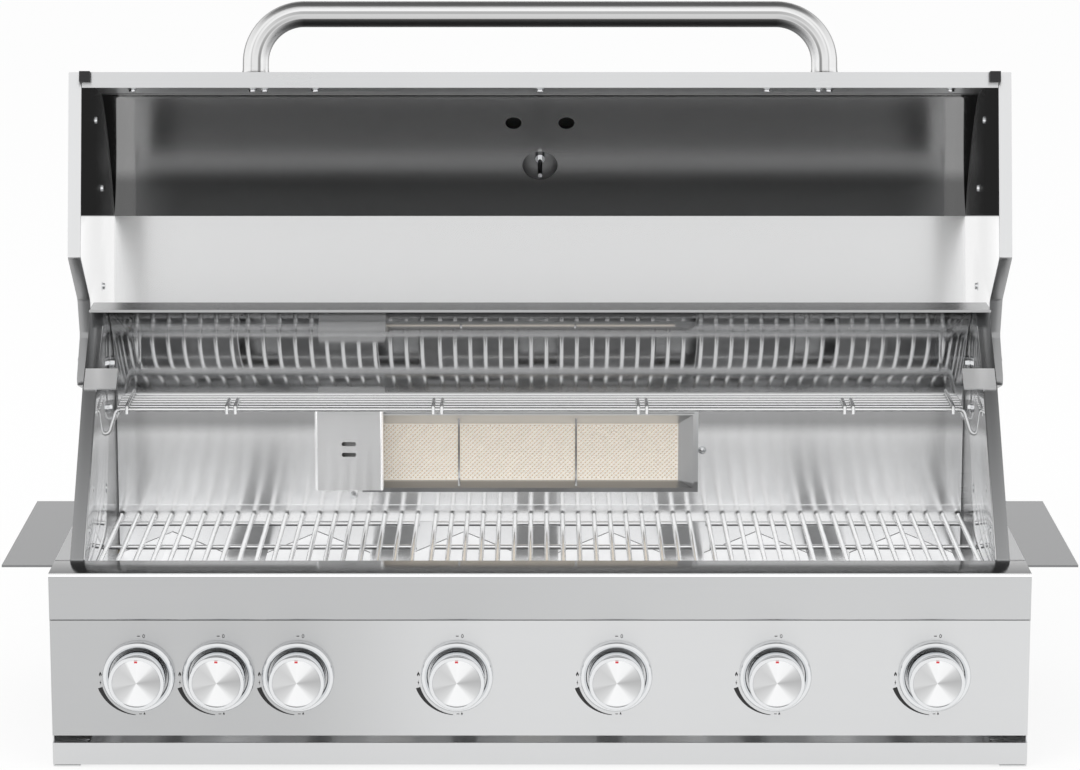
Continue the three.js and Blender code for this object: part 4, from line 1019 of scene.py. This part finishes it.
# Firebox
class GRILL_OT_firebox(GrillStep):
    """Back wall with its smoothly curved hood, the ledges, and the window for the rear burner"""

    bl_idname = "grill.firebox"
    bl_label = "Firebox back"

    HOOD_RISE, HOOD_STEPS = 0.110, 64
    LEDGE_WIDTH, UPSTAND = 0.022, 0.0145
    FRAME_FLANGE, CUT_MARGIN = 0.005, 0.01

    def execute(self, context):
        sheet = self.sizes.sheet
        a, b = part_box("firebox_back")
        wall_y = b.y - sheet
        spring_z = COUNTER_Z + self.HOOD_RISE
        top_z = low("rear_rail").z - GAP
        line = [(wall_y, a.z), *arc(a.y, spring_z, wall_y - a.y, top_z - spring_z, 0, math.pi / 2,
                                    self.HOOD_STEPS)]
        wall = Shape()
        wall.sheet(line, -sheet, a.x, b.x, straight)
        piece = wall.build("firebox_back_sheet", ["wall", "hood"], "base",
                           ["firebox_back"])
        # The hood's faces get the darker copy of the wall's steel: painted shade
        reslot(piece, 1, lambda normal, centre: centre.z > spring_z)
        frame_low, frame_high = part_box("rear_burner_frame")
        inset = self.FRAME_FLANGE - GAP
        window = Shape()
        window.block((frame_low.x + inset, wall_y - self.CUT_MARGIN, frame_low.z + inset),
                     (frame_high.x - inset, b.y + self.CUT_MARGIN, frame_high.z - inset))
        carve(piece, window)
        ledges = Shape()
        front_top = high("firebox_front").z
        tent_top = low("heat_tent_1").z - GAP
        for top in (front_top, tent_top):
            ledges.block((a.x, wall_y - self.LEDGE_WIDTH, top - sheet), (b.x, wall_y - sheet, top))
        ledges.block((a.x, wall_y - sheet, front_top - sheet), (b.x, wall_y, front_top + self.UPSTAND))
        # The ledges get the pale steel: painted light
        ledges.build("firebox_back_ledges", ["ledge"], "base")
        return {"FINISHED"}


class GRILL_OT_rear_burner(GrillStep):
    """Rear burner: pitted ceramic tiles, straps at their joints and the slotted cover"""

    bl_idname = "grill.rear_burner"
    bl_label = "Rear burner"

    STRAP_XS = (-0.0973, 0.0433)
    STRAP_HALF, STRAP_SHEET, STRAP_LIFT = 0.0012, 0.0006, 0.0006
    STRAP_IN, STRAP_INSET, TILE_INSET = 0.003, 0.007, 0.002
    ROUND_EDGE, CUT_MARGIN = 0.003, 0.01
    SLOT_HALF_LENGTH, SLOT_HALF_HEIGHT, SLOT_HALF_PITCH = 0.0085, 0.0025, 0.0065
    GRID_STEPS, PIT_SHARE = 4, 0.35

    def execute(self, context):
        self.tile()
        self.straps()
        self.cover()
        return {"FINISHED"}

    def tile(self):
        """A fine grid whose corners sink at the holes, which stand in a diamond pattern"""
        pitch = self.sizes.tile_pitch
        a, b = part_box("rear_burner_tile")
        fine = self.GRID_STEPS
        columns = round((b.x - a.x) / pitch) * fine
        rows = round((b.z - a.z) / pitch) * fine
        pit_depth = pitch * self.PIT_SHARE
        corners = []
        for j in range(rows + 1):
            for i in range(columns + 1):
                pitted = i % fine == j % fine and i % fine in (0, fine // 2)
                inside = 0 < i < columns and 0 < j < rows
                corners.append((a.x + (b.x - a.x) * i / columns, a.y + pit_depth * (pitted and inside),
                                a.z + (b.z - a.z) * j / rows))
        wide = columns + 1
        faces = [[j * wide + i, j * wide + i + 1, (j + 1) * wide + i + 1, (j + 1) * wide + i]
                 for j in range(rows) for i in range(columns)]
        edge = [*range(columns), *(j * wide + columns for j in range(rows)),
                *(rows * wide + i for i in range(columns, 0, -1)), *(j * wide for j in range(rows, 0, -1))]
        first, count = len(corners), len(edge)
        corners += [(corners[i][0], b.y, corners[i][2]) for i in edge]
        faces += [[edge[i], edge[(i + 1) % count], first + (i + 1) % count, first + i] for i in range(count)]
        faces.append(list(range(first, first + count)))
        tile = Shape()
        tile.add(corners, faces)
        piece = tile.build("ceramic_tiles", ["ceramic"], "base", ["rear_burner_tile"], angle=20)
        # The depth of each corner, which the ceramic finish turns into painted shade in the holes
        layer = piece.data.attributes.new("pit", "FLOAT", "POINT")
        for i, corner in enumerate(piece.data.vertices):
            depth = corner.co.y - a.y
            layer.data[i].value = depth / pit_depth if depth < 2 * pit_depth else 0.0

    def straps(self):
        a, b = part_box("rear_burner_tile")
        frame_low, frame_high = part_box("rear_burner_frame")
        frame_y, tile_y = frame_low.y + self.STRAP_IN, a.y - self.STRAP_LIFT
        path = [(frame_y, frame_low.z + self.STRAP_INSET), (tile_y, a.z + self.TILE_INSET),
                (tile_y, b.z - self.TILE_INSET), (frame_y, frame_high.z - self.STRAP_INSET)]
        straps = Shape()
        for x in self.STRAP_XS:
            straps.sheet(path, self.STRAP_SHEET, x - self.STRAP_HALF, x + self.STRAP_HALF, straight)
        straps.build("tile_straps", ["polished"], "base")

    def cover(self):
        """A closed box with a painted highlight on its round edges, two dark slots and a notch for the frame
        """
        a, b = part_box("rear_burner_cover")
        sheet, margin = self.sizes.sheet, self.CUT_MARGIN
        outline = rounded([(a.x, b.y), (a.x, a.y), (b.x, a.y), (b.x, b.y)], self.ROUND_EDGE)
        cover = Shape()
        cover.prism(outline, a.z, b.z, lambda x, y, z: (x, y, z))
        piece = cover.build("rear_burner_box", ["cover", "fold"], "base",
                            ["rear_burner_cover"])
        # The round side edges get the pale glowing finish: a painted highlight
        reslot(piece, 1, lambda normal, centre: abs(normal.x) > 0.1 and normal.y < -0.1)
        inside, slots, notch = Shape(), Shape(), Shape()
        inside.block((a.x + sheet, a.y + sheet, a.z + sheet), (b.x - sheet, b.y - sheet, b.z - sheet))
        middle_x, middle_z = (a.x + b.x) / 2, (a.z + b.z) / 2
        left, right = middle_x - self.SLOT_HALF_LENGTH, middle_x + self.SLOT_HALF_LENGTH
        for z in (middle_z - self.SLOT_HALF_PITCH, middle_z + self.SLOT_HALF_PITCH):
            under, over = z - self.SLOT_HALF_HEIGHT, z + self.SLOT_HALF_HEIGHT
            slot = [(left, under), (right, under), (right, over), (left, over)]
            slots.prism(rounded(slot, self.SLOT_HALF_HEIGHT, 4, True), a.y - margin, a.y + margin, flat)
        frame_low, frame_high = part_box("rear_burner_frame")
        notch.block((frame_low.x - GAP, frame_low.y - GAP, a.z - margin),
                    (b.x + margin, b.y + margin, frame_high.z + GAP))
        for cut in (inside, slots, notch):
            carve(piece, cut)


# Lid
class GRILL_OT_lid(GrillStep):
    """Lid: outer skin with its folded rim, liner with its crease, and the two ends"""

    bl_idname = "grill.lid"
    bl_label = "Lid"

    CORNER, CURVE_STEPS = 0.014, 48
    # Degrees round the lid's curve, place to the right and radius of each hole
    HOLES = ((51.4, 0, 0.0215), (19, -0.032, 0.0097), (19, 0.032, 0.0097))
    HOLE_SKIN_GAP, HOLE_SIDES = 0.004, 48
    ROOF_BEND, EAR_BEND, END_BEVEL = 0.004, 0.008, 0.0012
    EAR = ((0.029, -0.066), (-0.031, -0.035), (-0.071, -0.061))
    EAR_LENGTH = 0.1125

    def execute(self, context):
        self.skin()
        self.liner()
        for word in ("left", "right"):
            self.end(word)
        return {"FINISHED"}

    def outer_line(self):
        sizes = self.sizes
        roof_angle = math.asin((sizes.lid_crown - sizes.lid_face) / sizes.lid_arc)
        front = arc(sizes.lid_arc, sizes.lid_face, -sizes.lid_arc, sizes.lid_arc, 0, roof_angle,
                    self.CURVE_STEPS)
        return [(0, 0), *front, (sizes.lid_depth - self.CORNER, sizes.lid_height),
                (sizes.lid_depth, sizes.lid_height - self.CORNER),
                (sizes.lid_depth, sizes.lid_height - sizes.lid_back)]

    def skin(self):
        sizes = self.sizes
        a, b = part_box("lid_skin")
        skin = Shape()
        skin.sheet([(sizes.lid_rim, 0), *self.outer_line()], -sizes.sheet, a.x, b.x, lid_place)
        skin.build("lid_skin_sheet", ["steel"], "lid", ["lid_skin"])

    def liner(self):
        sizes = self.sizes
        a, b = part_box("lid_liner")
        start = Vector((2 * sizes.sheet + GAP, sizes.lid_face - sizes.flange_drop))
        crease = Vector((sizes.crease, sizes.lid_height - sizes.crease_drop))
        run = crease - start
        outward = Vector((-run.y, run.x)).normalized()
        curve = [(start.x, start.y - sizes.liner_flange)]
        for share in (i / self.CURVE_STEPS for i in range(self.CURVE_STEPS + 1)):
            bow = 4 * sizes.liner_bulge * share * (1 - share)
            curve.append(tuple(start + run * share + outward * bow))
        curved = Shape()
        curved.sheet(curve, sizes.sheet, a.x, b.x, lid_place)
        # The curve gets the dark copy of the liner's steel: painted shade
        piece = curved.build("lid_liner_curve", ["liner_dark"], "lid", ["lid_liner"])
        cutter = Shape()
        for degrees, x, hole_radius in self.HOLES:
            angle = math.radians(degrees)
            ends = [lid_place(sizes.lid_arc - distance * math.cos(angle),
                              sizes.lid_face + distance * math.sin(angle), x)
                    for distance in (sizes.lid_arc / 2, sizes.lid_arc - self.HOLE_SKIN_GAP)]
            cutter.tube(ends, hole_radius, self.HOLE_SIDES)
        carve(piece, cutter)
        back = sizes.lid_depth - sizes.lid_rim
        roof = [curve[-1], (back, sizes.lid_height - sizes.roof_drop),
                (back, sizes.lid_height - sizes.lid_back)]
        level = Shape()
        level.sheet(rounded(roof, self.ROOF_BEND), sizes.sheet, a.x, b.x, lid_place)
        # The roof gets the light copy of the liner's steel: painted light
        level.build("lid_liner_roof", ["liner_light"], "lid")

    def end(self, word):
        """An end wall with its ear; its inner face and the ear's edge are finishes of their own: a painted
        reflection with a painted glow inside, and painted shade on the ear's edge
        """
        sizes = self.sizes
        a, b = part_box(f"{word}_lid_end")
        outer = self.outer_line()
        ear_start = (sizes.lip_to_pivot - self.EAR_LENGTH, 0)
        ear = [(sizes.lip_to_pivot + depth, sizes.rim_to_pivot + rise) for depth, rise in self.EAR]
        corners = [*outer[-4:], *ear, ear_start, outer[0]]
        outline = outer[:-4] + rounded(corners, self.EAR_BEND)[:-1]
        end = Shape()
        end.prism(outline, a.x, b.x, lid_place)
        # The inner face gets the painted reflection
        inner_cap = -2 if word == "right" else -1
        end.slots[inner_cap] = 1
        piece = end.build(f"{word}_lid_end_shell", ["lid_end", "end_wall", "ear_edge"], "lid",
                          [f"{word}_lid_end"], angle=35, bevel=self.END_BEVEL)
        ear_top = lid_place(*ear_start, 0).z
        # The ear's edges below its top get the darker copy: painted shade
        reslot(piece, 2, lambda normal, centre: abs(normal.x) < 0.95 and centre.z < ear_top)


class GRILL_OT_handle(GrillStep):
    """Handle: one bent tube with a small flare at each foot"""

    bl_idname = "grill.handle"
    bl_label = "Handle"

    SPAN = 0.657
    STANDOFF = 0.072
    FLARE, FLARE_EDGE = 0.009, 0.0012
    FLARE_SHARE, HOLE_SHARE, FLARE_STEPS = 0.27, 0.8, 6
    SIDES, BEND_STEPS = 48, 24

    def execute(self, context):
        sizes = self.sizes
        half = self.SPAN / 2
        radius, bend, rise = sizes.handle_radius, sizes.handle_bend, sizes.handle_rise
        out = -GAP - self.STANDOFF
        corners = [lid_place(-GAP, rise, -half), lid_place(out, rise, -half), lid_place(out, rise, half),
                   lid_place(-GAP, rise, half)]
        handle = Shape()
        handle.tube(rounded(corners, bend, self.BEND_STEPS), radius, self.SIDES)
        axis = (corners[1] - corners[0]).normalized()
        curve = self.FLARE - self.FLARE_EDGE
        widest, bore = radius * (1 + self.FLARE_SHARE), radius * self.HOLE_SHARE
        flare = [(bore, 0), (widest, 0), (widest, self.FLARE_EDGE)]
        flare += [(radius * (1 + self.FLARE_SHARE * (1 - math.sin(t))),
                   self.FLARE_EDGE + curve * (1 - math.cos(t)))
                  for t in (math.pi / 2 * i / self.FLARE_STEPS for i in range(1, self.FLARE_STEPS + 1))]
        flare += [(bore, self.FLARE)]
        for foot in (corners[0], corners[3]):
            handle.lathe(flare, foot, axis, self.SIDES, closed=True)
        turn = Matrix.Rotation(LID_OPEN, 3, "X")

        def bands(corner):
            """Share across the tube, and 0 on the bar to 1 on a leg"""
            closed = turn @ (corner - LID_PIVOT)
            away = -(closed.y + sizes.lip_to_pivot) - GAP
            across, up = abs(closed.x) - half + bend, away - self.STANDOFF + bend
            if across <= 0:
                outward, leg = up - bend, 0.0
            elif up <= 0:
                outward, leg = across - bend, 1.0
            else:
                outward = math.hypot(across, up) - bend
                leg = math.atan2(across, up) / (math.pi / 2)
            return ((outward / radius + 1) / 2, leg)

        # The tube's UV places the painted reflection's bands
        handle.build("handle_tube", ["tube"], "lid", ["lid_handle"], angle=40, uv=bands)
        return {"FINISHED"}


# Cheeks
class GRILL_OT_cheeks(GrillStep):
    """Side walls of the firebox, folded outwards along their sloping front"""

    bl_idname = "grill.cheeks"
    bl_label = "Cheeks"

    BREAK = (-0.0792, 0.3830)
    CREST_Y = 0.0234
    REAR_Y = 0.0465
    SHOULDER = (0.1060, 0.4163)
    KNEE = (0.1460, 0.3307)
    BEND, EDGE_BEVEL = 0.003, 0.0004

    def execute(self, context):
        sheet = self.sizes.sheet
        for word, side in (("left", -1), ("right", 1)):
            a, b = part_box(f"{word}_cheek")
            near, far = sorted((abs(a.x), abs(b.x)))
            front = [(a.y, a.z), (a.y, COUNTER_Z), self.BREAK, (self.CREST_Y, b.z), (self.REAR_Y, b.z)]
            rear = [self.SHOULDER, self.KNEE, (b.y, a.z)]
            cheek = Shape()
            cheek.prism(front + rear, side * near, side * (near + sheet), straight, slot=1)
            cheek.sheet(rounded(front, self.BEND, 3), -sheet, side * (near + sheet), side * far, straight)
            # The cheek's fold gets a darker copy of the steel, painted shade, and its wall the polished
            # steel
            cheek.build(f"{word}_cheek_sheet", ["flange", "polished"], "base",
                        [f"{word}_cheek"], bevel=self.EDGE_BEVEL)
        return {"FINISHED"}


# Small fasteners
class GRILL_OT_fasteners(GrillStep):
    """Screws, rivets and bolts on the cheeks, the lid and the rear wall"""

    bl_idname = "grill.fasteners"
    bl_label = "Fasteners"

    CHEEK_BOLTS = ((0.0374, 0.3371),)
    CHEEK_RIVETS = ((-0.1280, 0.2793), (-0.0018, 0.2496), (-0.0367, 0.2316), (-0.1752, 0.2407))
    LID_END_SCREWS = ((0.1110, 0.6681), (0.1562, 0.5803), (0.1488, 0.4626))
    FACE_SCREW_XS = (-0.4827, -0.3407, -0.3264, -0.2661, 0, 0.269, 0.3298, 0.3422, 0.4865)
    FACE_SCREW_RISE = 0.145
    WALL_SCREWS = ((0.1944, 0.2688), (-0.2238, 0.2134))
    BOLT_SIZE, LID_SCREW_SIZE, WALL_SCREW_SIZE = 0.0045, 0.004, 0.0035
    RIVET_SHARE, HEXAGON, ROUND_SIDES = 0.15, 6, 20
    # A head's washer and cap, as (radius, rise)
    WASHER = ((0, 0), (1.35, 0), (1.35, 0.2), (0, 0.2))
    CAP = ((0, 0.2), (1.0, 0.2), (1.0, 0.7), (0.85, 0.95), (0, 1.0))

    def execute(self, context):
        sheet = self.sizes.sheet
        hexagon, pan = self.head("hexagon", self.HEXAGON), self.head("pan", self.ROUND_SIDES)
        rivet = self.head("rivet", self.ROUND_SIDES, self.RIVET_SHARE)

        def on_both_sides(x, spots):
            return [(Vector((side * x, y, z)), Vector((-side, 0, 0))) for side in (-1, 1) for y, z in spots]

        def fasten(name, places, source, size, body):
            copy_on_points(name, places, source, size, "chrome", body)

        fasten("cheek_bolts", on_both_sides(CHEEK_X, self.CHEEK_BOLTS), hexagon, self.BOLT_SIZE, "base")
        fasten("cheek_rivets", on_both_sides(CHEEK_X, self.CHEEK_RIVETS), rivet, self.BOLT_SIZE, "base")
        screws = on_both_sides(low("right_lid_end").x, self.LID_END_SCREWS)
        for x in self.FACE_SCREW_XS:
            point = lid_place(sheet, self.FACE_SCREW_RISE, x)
            screws.append((point, lid_place(sheet + 1, self.FACE_SCREW_RISE, x) - point))
        fasten("lid_screws", screws, pan, self.LID_SCREW_SIZE, "lid")
        wall = [(Vector((x, WALL_Y - sheet, z)), FORWARD) for x, z in self.WALL_SCREWS]
        fasten("wall_screws", wall, pan, self.WALL_SCREW_SIZE, "base")
        for source in (hexagon, pan, rivet):
            bpy.data.objects.remove(source)
        return {"FINISHED"}

    def head(self, name, sides, height=1.0):
        """A bolt head of unit radius on a washer, facing +Z"""
        head = Shape()
        for profile, facets in ((self.WASHER, self.ROUND_SIDES), (self.CAP, sides)):
            head.lathe([(radius, rise * height) for radius, rise in profile], (0, 0, 0), (0, 0, 1), facets)
        return linked(name, head.mesh(name))


# Carried-over solids
NODE_FINISHES = {
    # Panel and tray carry painted light and shade, darker on the left
    "panel": ("control_panel",),
    "tray": ("drip_tray",),
    # The hangers get a darker copy of the steel: painted shade
    "shaded": ("left_hanger", "right_hanger"),
    # The rear rail gets a darker copy of the steel: painted shade
    "rail": ("rear_rail",),
    # The burner frame's finish holds painted shade along its bottom
    "frame": ("rear_burner_frame",),
    "cover": ("left_spit_bracket", "right_spit_bracket"),
    "chrome": ("left_hinge_pin", "right_hinge_pin", "thermometer"),
    "brass": ("gas_manifold", "rear_gas_pipe"),
    "rubber": ("left_lid_bumper", "right_lid_bumper"),
    # The heat tents get the dark glowing steel: painted shade and painted sheen
    "bright": tuple(f"heat_tent_{i}" for i in range(1, BURNER_COUNT + 1)),
}


class GRILL_OT_solids(GrillStep):
    """Finishes of the solids that are shown as they are"""

    bl_idname = "grill.solids"
    bl_label = "Carried-over solids"

    def execute(self, context):
        chosen = {name: key for key, names in NODE_FINISHES.items() for name in names}
        for name, solid in frame["nodes"].items():
            solid.data.materials.clear()
            solid.data.materials.append(finish(chosen.get(name, "steel")))
        return {"FINISHED"}


# Stage
class GRILL_OT_stage(GrillStep):
    """Pale floor, soft light and the camera at the photograph's angle"""

    bl_idname = "grill.stage"
    bl_label = "Stage and camera"

    CAMERA_PLACE = (0, -4.3348, 1.2679)
    CAMERA_PITCH = math.radians(11.672)
    LENS, SENSOR = 126.67, 36
    FLOOR_REACH, FLOOR_TINT, FLOOR_GLOW_SHARE = 14, 0.9, 0.8
    WHITE = (1, 1, 1, 1)
    CEILING_TILT = math.radians(20)
    CEILING = (0.70, 0.84, 1.0, 0.14)
    # Name, place, width and power of each lamp
    LAMPS = (("key", (-1.8, -2.2, 2.6), 2.4, 34), ("fill", (2.2, -1.8, 2.0), 2.0, 16))
    LAMP_AIM = (0, 0, 0.3)

    def execute(self, context):
        scene = context.scene
        scene.view_settings.view_transform = "Standard"
        self.camera(scene)
        self.floor()
        self.world(scene)
        self.lamps()
        return {"FINISHED"}

    def camera(self, scene):
        data = bpy.data.cameras.new("camera")
        data.sensor_width = self.SENSOR
        data.lens = self.LENS
        camera = linked("camera", data)
        camera.location = self.CAMERA_PLACE
        camera.rotation_euler = (math.pi / 2 - self.CAMERA_PITCH, 0, 0)
        scene.camera = camera

    def shown_rays(self, tree):
        """The camera's rays, and those together with gloss and the rays through glass"""
        rays = node(tree, "ShaderNodeLightPath").outputs
        first = calc(tree, "MAXIMUM", rays["Is Camera Ray"], rays["Is Glossy Ray"])
        return rays["Is Camera Ray"], calc(tree, "MAXIMUM", first, rays["Is Transmission Ray"])

    def mixed(self, tree, share, first, second):
        sockets = {0: share, 1: first.outputs[0], 2: second.outputs[0]}
        return node(tree, "ShaderNodeMixShader", sockets)

    def floor(self):
        reach, tint = self.FLOOR_REACH, self.FLOOR_TINT
        floor = Shape()
        floor.add([(-reach, -reach, 0), (reach, -reach, 0), (reach, reach, 0), (-reach, reach, 0)],
                  [[0, 1, 2, 3]])
        mesh = floor.mesh("floor", outward=False)
        material = bpy.data.materials.new("Floor")
        material.use_nodes = True
        tree = material.node_tree
        tree.nodes.remove(tree.nodes["Principled BSDF"])
        diffuse = node(tree, "ShaderNodeBsdfDiffuse", {0: (tint, tint, tint, 1)})
        glow = node(tree, "ShaderNodeEmission", {0: self.WHITE, 1: 1.0})
        share = calc(tree, "MULTIPLY", self.shown_rays(tree)[1], self.FLOOR_GLOW_SHARE)
        mix = self.mixed(tree, share, diffuse, glow)
        feed(tree, tree.nodes["Material Output"], {"Surface": mix.outputs[0]})
        mesh.materials.append(material)
        linked("floor", mesh)

    def world(self, scene):
        """White all round, with a dim ceiling that only gloss shows"""
        world = bpy.data.worlds.new("studio")
        scene.world = world
        world.use_nodes = True
        tree = world.node_tree
        tree.nodes.clear()
        camera_rays, shown = self.shown_rays(tree)
        overhead = (0, math.sin(self.CEILING_TILT), math.cos(self.CEILING_TILT))
        dim = ramp(tree, dot(tree, place_on(tree, "Generated"), overhead), *self.CEILING)
        white, gloss, soft = [node(tree, "ShaderNodeBackground", {0: self.WHITE, 1: strength})
                              for strength in (1.0, dim, 1.0)]
        mix = self.mixed(tree, shown, soft, self.mixed(tree, camera_rays, gloss, white))
        node(tree, "ShaderNodeOutputWorld", {"Surface": mix.outputs[0]})

    def lamps(self):
        for name, place, size, power in self.LAMPS:
            data = bpy.data.lights.new(name, "AREA")
            data.size = size
            data.energy = power
            lamp = linked(name, data)
            lamp.location = place
            aim = Vector(self.LAMP_AIM) - Vector(place)
            lamp.rotation_euler = aim.to_track_quat("-Z", "Y").to_euler()
            lamp.visible_glossy = False


class GRILL_PT_panel(bpy.types.Panel):
    """Buttons for each step, the sizes and the finishes"""

    bl_label = "Grill"
    bl_idname = "GRILL_PT_panel"
    bl_space_type = "VIEW_3D"
    bl_region_type = "UI"
    bl_category = "Grill"

    def draw(self, context):
        column = self.layout.column()
        for step in STEPS:
            column.operator(step.bl_idname)
        for group in (context.scene.grill_sizes, context.scene.grill_finishes):
            for name in group.__annotations__:
                column.prop(group, name)


STEPS = (GRILL_OT_stage, GRILL_OT_solids, GRILL_OT_front, GRILL_OT_knobs, GRILL_OT_marks, GRILL_OT_grates,
         GRILL_OT_rack, GRILL_OT_firebox, GRILL_OT_rear_burner, GRILL_OT_lid, GRILL_OT_handle,
         GRILL_OT_cheeks, GRILL_OT_fasteners)
CLASSES = (GrillSizes, GrillFinishes, *STEPS, GRILL_PT_panel)


def register():
    for kind in CLASSES:
        bpy.utils.register_class(kind)
    bpy.types.Scene.grill_sizes = PointerProperty(type=GrillSizes)
    bpy.types.Scene.grill_finishes = PointerProperty(type=GrillFinishes)


def unregister():
    del bpy.types.Scene.grill_finishes
    del bpy.types.Scene.grill_sizes
    for kind in reversed(CLASSES):
        bpy.utils.unregister_class(kind)


def main():
    register()
    for step in STEPS:
        family, name = step.bl_idname.split(".")
        getattr(getattr(bpy.ops, family), name)()


if __name__ == "__main__":
    main()
